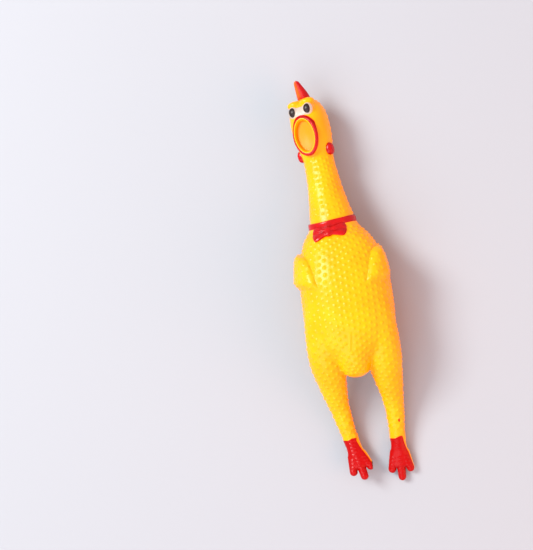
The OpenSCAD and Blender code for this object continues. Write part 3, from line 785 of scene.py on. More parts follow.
@dataclass
class Skin:
    """The moulding's skin as meshes: one net, cut into pieces, with studs, paint and normals.

    The paint of each foot, left and right, ends at a line round the shank, and leaves a bare strip up
    its outer side whose half width is given at three levels along y.
    """

    mould: Mould
    studs: Studs
    low: tuple[float, float, float]
    high: tuple[float, float, float]
    pitch: float
    cuts: tuple[Cut, ...]
    rounds: int = 4
    paint_line: tuple[float, float] = (-124.6, -122.0)
    strip_at: tuple[float, ...] = (-150, -137, -124)
    strip_wide: tuple[float, ...] = (10, 6, 0.6)
    strip_less: tuple[float, float] = (1.9, 0.8)
    strip_turn: float = 35.0
    fleck_at: tuple[float, float, float] = (25.2, -111.6, 16.6)
    fleck_half: tuple[float, float, float] = (0.7, 1.6, 3.0)

    def build(self) -> "Skin":
        """Works out the net, snaps it at the cuts, relaxes it, adds the studs and finds its normals."""
        low, high = np.array(self.low), np.array(self.high)
        points, faces, layer = surface_net(self.mould, low, high, self.pitch)
        self.level = {cut: int((cut.value - low[1]) / self.pitch) for cut in self.cuts}
        fixed = np.zeros(len(points), bool)
        for cut, at in self.level.items():
            points[layer == at, 1] = cut.value
            fixed |= layer == at
        near, far = np.concatenate([faces[:, [a, (a + 1) % 4]] for a in range(4)]).T
        valence = np.bincount(near, minlength=len(points)).clip(1)
        for turn in range(self.rounds):
            if turn in (1, 2):
                mean = np.stack([np.bincount(near, points[far, a], len(points)) for a in range(3)], 1)
                moved = points + 0.5 * (mean / valence[:, None] - points)
                points = np.where(fixed[:, None], points, moved)
            value, gradient = self.mould.slope(points)
            gradient[fixed, 1] = 0
            square = np.maximum((gradient**2).sum(1), 0.04)
            move = np.clip(value / square, -0.5 * self.pitch, 0.5 * self.pitch)
            points = points - move[:, None] * gradient
        gradient = self.mould.slope(points)[1]
        smooth = gradient / np.linalg.norm(gradient, axis=1, keepdims=True)
        rise = self.studs.dots(points) + self.studs.ridges(points, smooth)
        self.points = points + rise[:, None] * smooth
        self.points[fixed, 1] = points[fixed, 1]
        self.normals = vertex_normals(self.points, faces)
        self.normals[fixed] = np.where((rise[fixed] > 0.02)[:, None], self.normals[fixed], smooth[fixed])
        self.plain, self.faces, self.layer = points, faces, layer
        # The hollow share marks where the beak's hollow gets painted shade, a darker orange.
        self.paint, self.hollow = self.painted(points), self.hollow_shade_share(points)
        return self

    def hollow_shade_share(self, p: Array) -> Array:
        """Share of the painted shade in the beak's hollow, a darker colour: 1 on its walls and floor, 0
        outside.
        """
        q = self.mould.head.inward(p)
        share = step(0.6, -0.2, np.abs(self.mould.mouth(q)) - 0.5) * step(15.6, 14.2, q[:, 2])
        return share * (p[:, 1] > self.mould.face_y)

    def painted(self, p: Array) -> Array:
        """Distance into the red paint: feet, a fleck on the left shank, and the beak's flank."""
        red = np.full(len(p), -5.0)
        turn = math.radians(self.strip_turn)
        for side, sign in enumerate((1, -1)):
            foot = (sign * p[:, 0] > 0) & (p[:, 1] < -105)
            q = self.mould.foot_place(p, side)
            low = p[:, 1] < self.mould.foot_y
            across = np.where(low, q[:, 0], p[:, 0] - sign * self.mould.leg_x[side](p[:, 1]))
            height = np.where(low, q[:, 2], p[:, 2] - self.mould.leg_z(p[:, 1]))
            bare = np.interp(p[:, 1], self.strip_at, self.strip_wide) - self.strip_less[side]
            bare = bare - across * math.sin(turn) + height * math.cos(turn)
            edge = self.paint_line[side] - p[:, 1] + 0.18 * across + 0.3 * np.sin(across * 0.9)
            red = np.where(foot, np.minimum(edge, bare), red)
        fleck = (p - np.array(self.fleck_at)) / np.array(self.fleck_half)
        red = np.maximum(red, 0.7 * (1 - np.linalg.norm(fleck, axis=1)))
        q = self.mould.head.inward(p)
        cup = self.mould.muzzle(np.column_stack([q[:, 0], q[:, 1], 0 * q[:, 0] + 12]))
        flank = np.minimum(q[:, 2] - 12.4, 1.6 - np.abs(cup))
        rim = self.mould.beak_oval(q, *(half - 0.7 for half in self.mould.mouth_rim))
        return np.where(p[:, 1] > self.mould.face_y, np.minimum(flank, rim), red)

    def piece(self, name: str, lower: Optional[Cut], upper: Optional[Cut], side: int,
              finish: bpy.types.Material) -> bpy.types.Object:
        """One piece of the skin.

        Args:
            name: Its name.
            lower: The cut that it starts at, or None.
            upper: The cut that it ends at, or None.
            side: 1 for only x > 0, -1 for only x < 0, 0 for both.
            finish: Its material.

        Returns:
            The object.
        """
        layers = self.layer[self.faces]
        low = self.level[lower] if lower else layers.min()
        high = self.level[upper] if upper else layers.max()
        keep = (layers.min(1) >= low) & (layers.max(1) <= high)
        keep &= ~((layers.min(1) == high) & (upper is not None))
        if side:
            keep &= side * self.points[self.faces[:, 0], 0] > 0
        used, faces = np.unique(self.faces[keep], return_inverse=True)
        faces = faces.reshape(-1, 4)
        # The hollow attribute carries the painted shade of the beak's hollow.
        return make_mesh(name, self.points[used], faces, finish, self.normals[used],
                         {"paint": self.paint[used], "hollow": self.hollow[used],
                          "rest_place": self.plain[used] * MM})


# ---- Finishes ------------------------------------------------------------------------------------------


def linear(code: str) -> tuple[float, float, float, float]:
    """An sRGB hex colour as the linear values that a shader takes."""
    parts = (int(code[i : i + 2], 16) / 255 for i in (1, 3, 5))
    return (*((c / 12.92 if c <= 0.04045 else ((c + 0.055) / 1.055) ** 2.4) for c in parts), 1.0)


def add_node(tree: bpy.types.NodeTree, kind: str, links: Optional[dict] = None, **settings) -> bpy.types.Node:
    """Adds a node.

    Args:
        tree: The node tree.
        kind: Its type, without the ShaderNode in front.
        links: Input name or number to the output socket that feeds it.
        settings: Attributes of the node, or values of its inputs with spaces as underscores.

    Returns:
        The node.
    """
    made = tree.nodes.new("ShaderNode" + kind)
    for key, value in settings.items():
        name = key.replace("_", " ")
        if hasattr(made, key):
            setattr(made, key, value)
        else:
            made.inputs[name].default_value = value
    for socket, source in (links or {}).items():
        tree.links.new(source, made.inputs[socket])
    return made

def new_material(name: str) -> tuple[bpy.types.Material, bpy.types.NodeTree]:
    """A material of a name with an empty node tree, and that tree."""
    material = bpy.data.materials.new(name)
    material.use_nodes = True
    material.node_tree.nodes.clear()
    return material, material.node_tree


def mottled(tree: bpy.types.NodeTree, place: bpy.types.NodeSocket, size: float, light: str,
            dark: str) -> bpy.types.NodeSocket:
    """A colour that drifts between two tones in clouds of a size in millimetres."""
    cloud = add_node(tree, "TexNoise", {"Vector": place}, Scale=PER_METRE / size, Detail=3.0)
    tone = add_node(tree, "MapRange", {"Value": cloud.outputs["Fac"]}, From_Min=0.3, From_Max=0.7)
    return add_node(tree, "Mix", {"Factor": tone.outputs["Result"]}, data_type="RGBA", A=linear(light),
                    B=linear(dark)).outputs["Result"]


def add_surface(tree: bpy.types.NodeTree, relief: bpy.types.NodeSocket, strength: float, depth: float,
                links: dict, **settings) -> None:
    """Ends a tree with its surface, on which a relief of a depth in millimetres is a faint bump."""
    bump = add_node(tree, "Bump", {"Height": relief}, Strength=strength, Distance=depth * MM)
    links = {**links, "Normal": bump.outputs["Normal"]}
    shader = add_node(tree, "BsdfPrincipled", links, **settings)
    add_node(tree, "OutputMaterial", {"Surface": shader.outputs["BSDF"]})


@dataclass(frozen=True)
class SoftVinyl:
    """Slush-moulded PVC, plasticised and glossy, straight out of a polished metal mould.

    It is saturated all through, its gloss is soft, and its skin has a faint orange peel about half a
    millimetre across. Red paint is sprayed on through a mask, so it has a soft ragged edge a tenth of a
    millimetre wide. The beak's hollow is given a deeper orange as painted shade. Paint and the beak's
    hollow take less of a highlight than the bare vinyl. The base colours are oranger and darker than they
    look, because the strong lamps clip the red channel.
    """

    name: str = "soft vinyl, slush moulded"
    body: str = "#FFA200"
    deep: str = "#FC9600"
    # Painted shade: the deeper orange given to the beak's hollow, where shade falls in the recess.
    hollow: str = "#EE8200"
    paint: str = "#9C0202"
    roughness: float = 0.28
    paint_roughness: float = 0.24
    shine: float = 0.19
    less_shine: float = 0.7
    peel: float = 0.55
    cloud: float = 16.0
    ragged: float = 0.12
    edge: float = 0.06

    def make(self) -> bpy.types.Material:
        """Builds the material. It reads the piece's rest place, so its pattern bends with the skin."""
        material, tree = new_material(self.name)
        place = add_node(tree, "Attribute", attribute_name="rest_place").outputs["Vector"]
        # The hollow attribute is the share of painted shade in the beak's hollow.
        paint, inner = (add_node(tree, "Attribute", attribute_name=name).outputs["Fac"]
                        for name in ("paint", "hollow"))
        peel = add_node(tree, "TexNoise", {"Vector": place}, Scale=PER_METRE / self.peel,
                        Detail=1.0).outputs["Fac"]
        ragged = add_node(tree, "MapRange", {"Value": peel}, To_Min=-self.ragged, To_Max=self.ragged)
        edge = add_node(tree, "Math", {0: paint, 1: ragged.outputs["Result"]}, operation="ADD").outputs[0]
        red = add_node(tree, "MapRange", {"Value": edge}, From_Min=-self.edge, From_Max=self.edge,
                       interpolation_type="SMOOTHSTEP").outputs["Result"]
        yellow = mottled(tree, place, self.cloud, self.body, self.deep)
        colour = add_node(tree, "Mix", {"Factor": red, "A": yellow}, data_type="RGBA", B=linear(self.paint))
        # Painted shade: the hollow's darker orange is mixed over the colour.
        colour = add_node(tree, "Mix", {"Factor": inner, "A": colour.outputs["Result"]}, data_type="RGBA",
                          B=linear(self.hollow))
        gloss = add_node(tree, "MapRange", {"Value": red}, To_Min=self.roughness, To_Max=self.paint_roughness)
        dull = add_node(tree, "Math", {0: inner, 1: red}, operation="MAXIMUM").outputs[0]
        shine = add_node(tree, "MapRange", {"Value": dull}, To_Min=self.shine,
                         To_Max=self.less_shine * self.shine)
        add_surface(tree, peel, 0.12, 0.06, {"Base Color": colour.outputs["Result"],
                                             "Roughness": gloss.outputs["Result"],
                                             "Specular IOR Level": shine.outputs["Result"]}, IOR=1.5)
        return material


@dataclass(frozen=True)
class Coating:
    """A sprayed or moulded-in colour over vinyl: lacquer, or the hard plastic or steel of the whistle.

    Two tones lie in clouds over it and a fine peel breaks up its highlights. Where an attribute asks for it,
    a lighter orange is painted in: a painted glow on the comb's lit flank, standing in for light through it.
    """

    name: str
    light: str
    dark: str
    roughness: float
    ior: float = 1.5
    coat: float = 0.08
    metallic: float = 0.0
    # Painted glow: the orange shown where light would shine through the part.
    lit_glow: str = "#F06A10"
    cloud: float = 5.0
    peel: float = 0.45
    uneven: float = 0.15

    def make(self) -> bpy.types.Material:
        """Builds the material on object coordinates. A metal keeps the default index of refraction."""
        material, tree = new_material(self.name)
        place = add_node(tree, "TexCoord").outputs["Object"]
        peel = add_node(tree, "TexNoise", {"Vector": place}, Scale=PER_METRE / self.peel,
                        Detail=1.0).outputs["Fac"]
        # This attribute paints a lighter orange where light would shine through the part: a painted glow.
        glow_share = add_node(tree, "Attribute", attribute_name="lit_glow").outputs["Fac"]
        colour = mottled(tree, place, self.cloud, self.light, self.dark)
        colour = add_node(tree, "Mix", {"Factor": glow_share, "A": colour}, data_type="RGBA",
                          B=linear(self.lit_glow)).outputs["Result"]
        gloss = add_node(tree, "MapRange", {"Value": peel}, To_Min=self.roughness * (1 - self.uneven),
                         To_Max=self.roughness * (1 + self.uneven)).outputs["Result"]
        settings = {} if self.metallic else {"IOR": self.ior, "Specular_IOR_Level": 0.2}
        add_surface(tree, peel, 0.15, 0.05, {"Base Color": colour, "Roughness": gloss},
                    Metallic=self.metallic, Coat_Weight=self.coat, Coat_Roughness=0.1, **settings)
        return material


class Finish(Enum):
    """Every finish on the bird, by what it is and how it was made."""

    SKIN = SoftVinyl()
    # A gloss lacquer laid on thinly: deep red, with a painted glow of the vinyl's orange on the comb's flank
    # that faces the key lamp, standing in for light shining through the comb.
    RED = Coating("red lacquer on vinyl, sprayed", "#AE0303", "#960104", 0.24)
    # A thicker, duller lacquer that hides the yellow under it and looks warm and chalky.
    WHITE = Coating("white lacquer on vinyl, sprayed", "#B0A498", "#A69787", 0.34)
    # One drop from a brush, near black with a brown cast, and a soft highlight.
    PUPIL = Coating("brown-black lacquer on vinyl, dabbed", "#2A1A17", "#1C100E", 0.36)
    # Hard and slightly glossy, an off-white that stands out cold against the vinyl.
    WHISTLE = Coating("white polystyrene, injection moulded", "#D6D5CF", "#CCCAC2", 0.32, 1.59, 0.1)
    # A bright grey metal with a soft, even glint.
    REED = Coating("spring steel strip, rolled", "#C9CACC", "#B4B6B9", 0.28, coat=0.0, metallic=1.0)


# ---- Parts on the skin ---------------------------------------------------------------------------------


def fasten(piece: bpy.types.Object, bodies: tuple[str, ...], nodes: tuple[str, ...],
           start: Optional[Array] = None, end: Optional[Array] = None) -> None:
    """Puts a piece on its one body in the place of CAD nodes, or bakes it where it stands if it has two.

    Args:
        piece: The piece.
        bodies: The body that it rides, or two bodies, which leave it baked in place.
        nodes: The CAD nodes that it stands for.
        start: Where a bend would start, in millimetres, for two bodies; not used.
        end: Where that bend would end; not used.
    """
    if len(bodies) == 1:
        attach(piece, *bodies)
    else:
        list(bodies)
        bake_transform(piece)
    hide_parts(*nodes)
    LOG.info("%s has %d faces on %s", piece.name, len(piece.data.polygons), " and ".join(bodies))


@dataclass
class Comb:
    """The comb: one horn that leans forward out of the crown, with a soft ridge down one flank.

    A row of the path is y and z in the head's frame, and the half sizes across and along z.
    """

    mould: Mould
    path: tuple[tuple[float, float, float, float], ...] = (
        (43.0, -1.6, 5.4, 5.0), (46.5, -0.8, 5.1, 4.8), (49.5, 0.7, 4.6, 4.3), (52.5, 2.5, 3.9, 3.6),
        (55.5, 4.5, 3.1, 2.9), (58.0, 6.1, 2.4, 2.2), (59.4, 6.9, 1.7, 1.6), (60.2, 7.2, 0.3, 0.3))
    rings: int = 44
    columns: int = 40
    bend: tuple[float, float] = (-1.8, 3.4)

    def build(self, finish: bpy.types.Material) -> None:
        """Builds the horn as rings along a bent path, set in place between the head and the comb.

        Ring i has its middle at (0, y, z) of the head's frame and the half sizes (a, b) of its row, blurred
        along the path. A ridge adds a bell curve to the radius round 62 degrees, and a painted glow of
        lighter orange, for light shining through the comb on its flank that faces the key lamp, follows
        another bell curve round 118 degrees.
        """
        knots = np.array(self.path)
        t = np.linspace(0, len(knots) - 1, self.rings)
        y, z, a, b = (np.interp(t, np.arange(len(knots)), column) for column in knots.T)
        z, a, b = (eased(values, BELL) for values in (z, a, b))
        angle = circle(self.columns)
        ridge = 1 + 0.1 * np.exp(-(((np.degrees(angle) - 62) / 17) ** 2)) * np.clip(a, 0, 3)[:, None] / 3
        grid = np.stack([a[:, None] * np.cos(angle) * ridge, np.repeat(y[:, None], self.columns, 1),
                         z[:, None] + b[:, None] * np.sin(angle) * ridge], axis=2)
        # Painted glow: a lighter orange band on the flank facing the key lamp, for light shining through the
        # comb.
        glow_share = 0.75 * np.exp(-(((np.degrees(angle) - 118) / 26) ** 2)) * np.clip((y - 45) / 4, 0, 1)[:, None]
        points, faces = closed_grid(self.mould.head.outward(grid))
        horn = make_mesh("comb_horn", points, faces, finish, None, {"lit_glow": np.append(glow_share.ravel(), [0, 0])})
        hinge, way = joint_at("comb_flex"), self.mould.head.axes[:, 1]
        fasten(horn, ("head", "comb"), ("comb", "comb_root"),
               hinge + self.bend[0] * way, hinge + self.bend[1] * way)


@dataclass
class Face:
    """What is painted on or stands out of the face: the lip, the eyes' white mask, pupils and wattles."""

    mould: Mould
    eye: tuple[float, float] = (6.2, 36.4)
    white_half: tuple[float, float] = (3.9, 4.6)
    pupil_half: tuple[float, float] = (2.45, 3.5)
    white_thick: float = 0.12
    pupil_thick: float = 0.3
    wattle_at: tuple[float, float, float] = (11.3, 3.6, 2.4)
    wattle_half: tuple[float, float, float] = (3.6, 4.8, 4.2)
    sunk: float = 0.9
    lip_drop: float = 1.5
    lip_radius: float = 1.12

    def film(self, outline: Array, middle: Array, lift: float) -> tuple[Array, Array]:
        """Points and faces of a paint film over the skin.

        Ring i is the outline shrunk to share s of its size; each point is dropped onto the skin along the
        face's axis and lifted by the paint's thickness, which falls below the skin at the rim. A copy of
        the film, sunk in the skin, is its underside.

        Args:
            outline: Points (x, y) round the film, in the head's frame.
            middle: Its middle.
            lift: Thickness of the paint.

        Returns:
            The points and the faces.
        """
        share = np.concatenate([[1.04, 1.015], np.linspace(1, 0.04, 15)])
        flat = middle + share[:, None, None] * (outline - middle)
        start = np.concatenate([flat.reshape(-1, 2), np.zeros((flat[..., 0].size, 1))], axis=1)
        front = self.mould.head.axes[:, 2]
        point, _ = self.mould.drop(self.mould.head.outward(start), front, 24.0, 80)
        for _ in range(2):
            value, gradient = self.mould.slope(point)
            point = point - (value / np.maximum((gradient**2).sum(1), 0.1))[:, None] * gradient
        normal = gradient / np.linalg.norm(gradient, axis=1, keepdims=True)
        rise = np.repeat([-0.35, 0.3 * lift] + [lift] * (len(share) - 2), len(outline))
        grid = (point + rise[:, None] * normal).reshape(*flat.shape[:2], 3)
        return closed_grid(np.concatenate([(grid[::-1] - front * self.sunk)[:-1], grid], axis=0))

    def mask(self, finish: bpy.types.Material) -> None:
        """Builds the white film round both eyes.

        Along each ray from its middle, the outline is at the furthest point of two ovals and the bridge
        between them, less the beak below.
        """
        across, up = self.eye
        middle = np.array([0.0, up - 1.0])
        angle, r = circle(96), np.linspace(0, 12.5, 240)
        ray = np.stack([np.cos(angle), np.sin(angle)], axis=1)
        x, y = r * ray[:, :1], middle[1] + r * ray[:, 1:]
        eyes = np.hypot((np.abs(x) - across) / self.white_half[0], (y - up + 0.2) / self.white_half[1]) < 1
        bridge = (np.abs(x) < across) & (y > up - 4.2) & (y < up + 2.6)
        rim_a, rim_b = self.mould.mouth_rim
        beak = np.hypot(x / (rim_a + 1.2), (y - self.mould.mouth_y) / (rim_b + 1.9)) < 1
        inside = (eyes | bridge) & ~beak
        last = len(r) - 1 - np.argmax(inside[:, ::-1], axis=1)
        far = eased(r[np.where(inside.any(1), last, 0)], BELL, loop=True)
        outline = middle + far[:, None] * ray
        piece = make_mesh("eye_mask", *self.film(outline, middle, self.white_thick), finish)
        fasten(piece, ("head",), ("eye_patch",))

    def pupil(self, side: str, sign: int, finish: bpy.types.Material) -> None:
        """Builds one pupil, an upright oval dab."""
        angle = circle(48)
        middle = np.array([sign * self.eye[0], self.eye[1]])
        outline = middle + np.array(self.pupil_half) * np.stack([np.cos(angle), np.sin(angle)], axis=1)
        piece = make_mesh(f"{side}_pupil_dab", *self.film(outline, middle, self.pupil_thick), finish)
        fasten(piece, ("head",), (f"{side}_pupil",))

    def lip(self, finish: bpy.types.Material) -> None:
        """Builds the red lip: a round bead carried along the oval rim of the beak.

        The bead's section is an oval that is rolled outwards, and it is a little fuller at the lower end.
        """
        along, around = circle(120), circle(20)
        a, b = self.mould.mouth_rim
        bead = (self.lip_radius + 0.3 * np.cos(along + 0.9))[:, None, None]
        centre = np.stack([(a - 0.1) * np.cos(along), self.mould.mouth_y + (b - 0.1) * np.sin(along),
                           self.mould.lip_z - self.lip_drop + 0 * along], axis=1)
        out = np.stack([np.cos(along) / a, np.sin(along) / b, 0 * along], axis=1)
        out /= np.linalg.norm(out, axis=1, keepdims=True)
        grid = centre[:, None] + bead * (1.05 * np.cos(around)[:, None] * out[:, None]
                                         + 0.95 * np.sin(around)[:, None] * np.eye(3)[2])
        faces = ring_faces(*grid.shape[:2], loop=True)[:, [0, 3, 2, 1]]
        piece = make_mesh("beak_lip", self.mould.head.outward(grid.reshape(-1, 3)), faces, finish)
        fasten(piece, ("head",), ("lip_ring",))

    def wattle(self, side: str, sign: int, finish: bpy.types.Material) -> None:
        """Builds one wattle, a pad with a squarish outline: a superellipsoid in latitude and longitude."""
        up, turn = np.meshgrid(np.linspace(-np.pi / 2, np.pi / 2, 25), circle(40), indexing="ij")
        wide, high = signed_power(np.cos(up), 0.8), signed_power(np.sin(up), 0.8)
        grid = np.stack([wide * signed_power(np.cos(turn), 0.75), high,
                         wide * signed_power(np.sin(turn), 0.75)], axis=2) * np.array(self.wattle_half)
        grid = grid + np.array([sign * self.wattle_at[0], *self.wattle_at[1:]])
        piece = make_mesh(f"{side}_wattle_pad", *closed_grid(self.mould.head.outward(grid)), finish)
        fasten(piece, ("head",), (f"{side}_wattle",))


@dataclass
class Neckwear:
    """The collar band round the foot of the neck and the bow on the breast under it."""

    mould: Mould
    band_width: float = 6.4
    band_thick: float = 3.4
    band_proud: float = 0.75
    band_pitch: float = 4.5
    bow_turn: float = 9.0
    bow_half: float = 13.0
    bow_drop: float = 6.2
    knot_half: float = 3.9

    def band(self, finish: bpy.types.Material) -> None:
        """Builds the collar: a flat band's closed profile carried round the neck.

        At each angle the band's outer face stands a fixed height over the skin there. The profile is a
        superellipse of power four in width and height, and two slow waves make the band uneven.
        """
        around, turn = circle(160), circle(28)
        centre = self.mould.neck_point(self.mould.collar_y)
        axes = turned(2, self.mould.neck_lean) @ turned(0, self.band_pitch)
        way = np.stack([np.sin(around), 0 * around, np.cos(around)], axis=1) @ axes.T
        hit, _ = self.mould.drop(np.broadcast_to(centre, way.shape), way, 40, 120)
        radius = eased(np.linalg.norm(hit - centre, axis=1), FLAT, loop=True) + self.band_proud
        half = self.band_thick / 2
        depth = half * signed_power(np.cos(turn), 0.5) - half
        width = self.band_width / 2 * signed_power(np.sin(turn), 0.5)
        wave = 0.12 * np.sin(3 * around) + 0.07 * np.sin(7 * around + 1)
        grid = (centre + (radius[:, None] + depth)[..., None] * way[:, None]
                + (width + wave[:, None])[..., None] * axes[:, 1])
        piece = make_mesh("collar", grid.reshape(-1, 3), ring_faces(*grid.shape[:2], loop=True), finish)
        fasten(piece, ("torso",), ("collar_band",))

    def bow(self, finish: bpy.types.Material) -> None:
        """Builds the bow: one closed pillow from wing tip to wing tip, pinched into a knot.

        Row u runs across and column v round the section. The half height is narrow at the knot and full
        at the tips, and the front stands out of the skin by a puff that has one fold along each wing.
        """
        u, v = np.linspace(-1, 1, 97)[:, None], circle(56)
        wing = np.abs(u)
        tip = np.clip((1 - wing) / 0.16, 0, 1) ** 0.5
        knot = np.exp(-((u / 0.14) ** 4))
        full = 1.9 * step(0.12, 0.85, wing) + 0.5 * step(0, 0.8, -u)
        half = (3.2 + full) * (0.3 + 0.7 * tip) * (1 - knot) + self.knot_half * knot
        across = np.cos(v)
        flat = np.stack([self.bow_half * u + 0 * across, half * across - 0.6 * wing], axis=2)
        folds = 1 - 0.5 * np.exp(-(((across - 0.05) / 0.2) ** 2)) * step(0.1, 0.3, wing)
        puff = (2.5 * (1 - knot) + 3.3 * knot) * (0.35 + 0.65 * tip) * folds
        rise = np.where(np.sin(v) > 0, np.abs(np.sin(v)) ** 0.6 * puff, -1.2 * np.abs(np.sin(v)))
        centre = self.mould.neck_point(self.mould.collar_y)
        axes = turned(2, self.mould.neck_lean) @ turned(1, -self.bow_turn)
        start = flat[..., :1] * axes[:, 0] + (flat[..., 1:] - self.bow_drop) * axes[:, 1] + centre
        hit, _ = self.mould.drop(start.reshape(-1, 3), axes[:, 2], 40, 120)
        level = ((hit - centre) @ axes[:, 2]).reshape(len(u), len(v))
        level = np.apply_along_axis(eased, 0, level, FLAT)
        grid = start + (level + rise)[..., None] * axes[:, 2]
        fasten(make_mesh("bow", *closed_grid(grid), finish), ("torso",), ("bow_tie",))


# ---- The bird ------------------------------------------------------------------------------------------


@dataclass
class Bird:
    """The whole bird: it builds each sub-assembly and puts each piece that rides one body on that body."""

    mould: Mould = field(default_factory=Mould)
    body_pitch: float = 0.6
    fine_pitch: float = 0.4
    margin: float = 4.0
    neck_bend: float = 7.5
    dent_share: tuple[float, float] = (1.05, 0.85)
    dent_depth: tuple[float, float] = (24.0, 46.0)

    def __post_init__(self) -> None:
        """Makes every finish and places the studs once."""
        self.finish = {f: f.value.make() for f in Finish}
        self.studs = Studs(self.mould)

    def dent(self, torso: bpy.types.Object) -> None:
        """Puts the torso's skin in place and works out, without keeping it, the share of a round dent for the
        squeeze.

        The share of the slide is a bell curve round the middle of the CAD's belly panel, and only the front
        of the skin has any.
        """
        low, high = box_of("belly_panel")
        middle, half = (low + high) / 2, (high - low) / 2
        fasten(torso, ("torso", "belly"), ("torso_shell", "belly_panel", "belly_fold"),
               np.array([*middle[:2], 20.0]), np.array([*middle[:2], high[2]]))
        point = np.empty(len(torso.data.vertices) * 3, np.float32)
        torso.data.vertices.foreach_get("co", point)
        point = point.reshape(-1, 3) / MM
        away = (point[:, :2] - middle[:2]) / (np.array(self.dent_share) * half[:2])
        share, least = np.exp(-(away**2).sum(1)), 0.04
        share = np.clip((share - least) / (1 - least), 0, 1) * step(*self.dent_depth, point[:, 2])

    def skin(self) -> None:
        """Builds the skin from three nets: the body, and finer ones for the head and the feet."""
        vinyl = self.finish[Finish.SKIN]
        body = Skin(self.mould, self.studs, (-43, -126.1, -1), (43, 99, 62), self.body_pitch,
                    tuple(Cut)).build()
        self.dent(body.piece("torso_skin", Cut.HIP, Cut.COLLAR, 0, vinyl))
        up_neck = np.array([-self.mould.lean, 1, 0])
        for name, lower, upper, bodies, nodes, joint, before, after in (
                ("neck_root_skin", Cut.COLLAR, Cut.NECK_LOW, ("torso", "neck_lower"),
                 ("neck_root_flex", "neck_lower"), "neck_bend", self.neck_bend, self.neck_bend),
                ("neck_skin", Cut.NECK_LOW, Cut.NECK_HIGH, ("neck_lower", "neck_upper"),
                 ("mid_neck_flex", "neck_upper"), "neck_sway", self.neck_bend, self.neck_bend),
                ("throat_skin", Cut.NECK_HIGH, Cut.THROAT, ("neck_upper", "head"),
                 ("throat_flex",), "head_nod", 6, 5)):
            fasten(body.piece(name, lower, upper, 0, vinyl), bodies, nodes,
                   joint_at(joint) - before * up_neck, joint_at(joint) + after * up_neck)
        for side, sign in (("left", 1), ("right", -1)):
            hip, ankle = joint_at(f"{side}_hip_swing"), joint_at(f"{side}_ankle_flex")
            down = np.array([0, -1, 0])
            fasten(body.piece(f"{side}_thigh_skin", Cut.SHANK, Cut.HIP, sign, vinyl),
                   ("torso", f"{side}_leg"), (f"{side}_hip_flex", f"{side}_leg"),
                   hip - 6.6 * down, hip + 9 * down)
            fasten(body.piece(f"{side}_shank_skin", Cut.ANKLE, Cut.SHANK, sign, vinyl),
                   (f"{side}_leg", f"{side}_foot"), (f"{side}_ankle_flex",),
                   ankle - 5.5 * down, ankle + 4.5 * down)
            low, high = box_of(f"{side}_foot")
            foot = Skin(self.mould, self.studs, (low[0] - self.margin, low[1] - 7, -1),
                        (high[0] + self.margin, -119, high[2] + 8), self.fine_pitch, (Cut.ANKLE,)).build()
            fasten(foot.piece(f"{side}_foot_skin", None, Cut.ANKLE, sign, vinyl),
                   (f"{side}_foot",), (f"{side}_foot",))
        low, high = box_of("head_shell")
        head = Skin(self.mould, self.studs, (low[0] - self.margin, 93.7, low[2] - self.margin),
                    tuple(high + self.margin), self.fine_pitch, (Cut.THROAT,)).build()
        fasten(head.piece("head_skin", Cut.THROAT, None, 0, vinyl), ("head",), ("head_shell",))

    def trimmings(self) -> None:
        """Builds the red, white and dark parts on the skin."""
        red, white, dark = (self.finish[f] for f in (Finish.RED, Finish.WHITE, Finish.PUPIL))
        face, neckwear = Face(self.mould), Neckwear(self.mould)
        Comb(self.mould).build(red)
        face.lip(red)
        face.mask(white)
        for side, sign in (("left", 1), ("right", -1)):
            face.pupil(side, sign, dark)
        for side, sign in (("left", 1), ("right", -1)):
            face.wattle(side, sign, red)
        neckwear.band(red)
        neckwear.bow(red)

    def whistle(self) -> None:
        """Dresses the whistle's CAD nodes, whose shapes stay as they are."""
        for node in ("whistle_housing", "whistle_grille", "reed_bed", "reed_clip", "reed_tongue"):
            finish = self.finish[Finish.REED if node == "reed_tongue" else Finish.WHISTLE]
            mesh = frame["nodes"][node].data
            mesh.materials.clear()
            mesh.materials.append(finish)
            LOG.info("%s is dressed in %s", node, finish.name)


# ---- Studio ----------------------------------------------------------------------------------------------


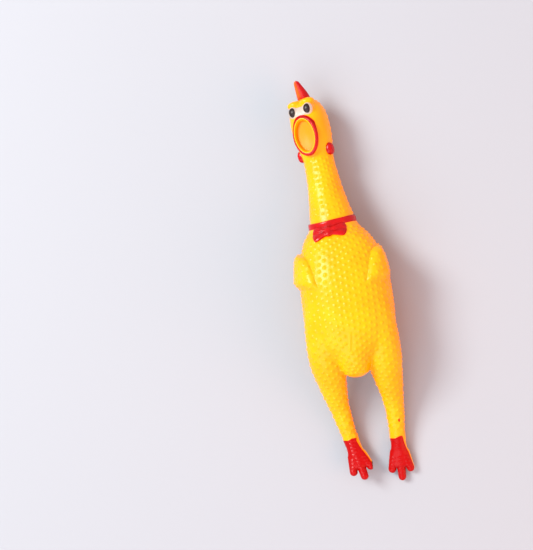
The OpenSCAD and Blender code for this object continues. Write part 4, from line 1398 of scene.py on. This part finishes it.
@dataclass
class Studio:
    """A plain pale floor, soft light from the upper left with a warm fill, and a camera above the bird.

    The camera is rolled and tilted a little, and aims aside of and below the bird's middle, so that the
    bird is right of the picture's. The lamps are strong, so that the floor's mid grey looks pale.
    """

    roll: float = 8.0
    tilt: float = 4.5
    distance: float = 900.0
    aside: float = 60.0
    below: float = 3.8
    middle_z: float = 28.0
    frame_height: float = 418.0
    floor_colour: str = "#999FA5"
    floor_half: float = 4000.0
    paper_grains: float = 1200.0
    room_colour: str = "#F2F0F8"
    room_light: float = 0.98

    def floor(self) -> None:
        """Lays a floor of matt paper, with a faint grain, under the bird."""
        material, tree = new_material("matt coated paper, rolled")
        place = add_node(tree, "TexCoord").outputs["Object"]
        # Real paper's grain is a tenth of a millimetre across: it is drawn eight times coarser to show.
        grain = add_node(tree, "TexNoise", {"Vector": place}, Scale=self.paper_grains, Detail=2.0)
        add_surface(tree, grain.outputs["Fac"], 0.05, 0.02, {}, Base_Color=linear(self.floor_colour),
                    Roughness=0.75)
        corner = np.array([[-1, -1, 0], [1, -1, 0], [1, 1, 0], [-1, 1, 0]]) * self.floor_half
        make_mesh("floor", corner, np.array([[0, 1, 2, 3]]), material)

    def lamp(self, name: str, at: tuple[float, float, float], size: float, watts: float,
             colour: str) -> None:
        """Adds a square area light that looks at the bird."""
        light = bpy.data.lights.new(name, "AREA")
        light.size, light.energy, light.color = size * MM, watts, linear(colour)[:3]
        lamp = bpy.data.objects.new(name, light)
        bpy.context.scene.collection.objects.link(lamp)
        lamp.location = Vector(at) * MM
        lamp.rotation_euler = (Vector((0, 0, self.middle_z)) - Vector(at)).to_track_quat("-Z", "Y").to_euler()

    def lights(self) -> None:
        """Adds the key, a window, the warm fill and the even light of a white room."""
        self.lamp("key", (-1260, 830, 1560), 820, 60.0, "#FFFDFA")
        self.lamp("window", (-1000, -1600, 2100), 2400, 46.0, "#FBFCFF")
        self.lamp("fill", (1700, -900, 900), 1800, 46.0, "#FF9458")
        world = bpy.data.worlds.new("white room")
        world.use_nodes = True
        inputs = world.node_tree.nodes["Background"].inputs
        inputs["Color"].default_value = linear(self.room_colour)
        inputs["Strength"].default_value = self.room_light
        bpy.context.scene.world = world

    def camera(self) -> None:
        """Sets the camera over the bird, with the bird right of the middle."""
        roll, tilt = math.radians(self.roll), math.radians(self.tilt)
        right = np.array([math.cos(roll), -math.sin(roll), 0])
        up = np.array([math.sin(roll), math.cos(roll), 0])
        bird = np.array([0, 0, self.middle_z])
        place = bird + self.distance * (math.sin(tilt) * right + math.cos(tilt) * np.array([0, 0, 1.0]))
        aim = bird - self.aside * right + self.below * up
        back = (place - aim) / np.linalg.norm(place - aim)
        side = np.cross(up, back)
        side /= np.linalg.norm(side)
        data = bpy.data.cameras.new("camera")
        data.lens = data.sensor_width * self.distance / self.frame_height
        data.clip_start, data.clip_end = 0.01, 20
        camera = bpy.data.objects.new("camera", data)
        bpy.context.scene.collection.objects.link(camera)
        pose = Matrix(np.column_stack([side, np.cross(back, side), back]).tolist()).to_4x4()
        pose.translation = Vector(place * MM)
        camera.matrix_world = pose
        bpy.context.scene.camera = camera

    def build(self) -> None:
        """Sets up the whole studio."""
        bpy.context.scene.view_settings.view_transform = "Standard"
        self.floor()
        self.lights()
        self.camera()


def main() -> None:
    """Builds the bird, then the studio."""
    logging.basicConfig(level=logging.INFO, format="%(name)s: %(message)s")
    Studio().build()
    bird = Bird()
    bird.whistle()
    bird.skin()
    bird.trimmings()


if __name__ == "__main__":
    main()
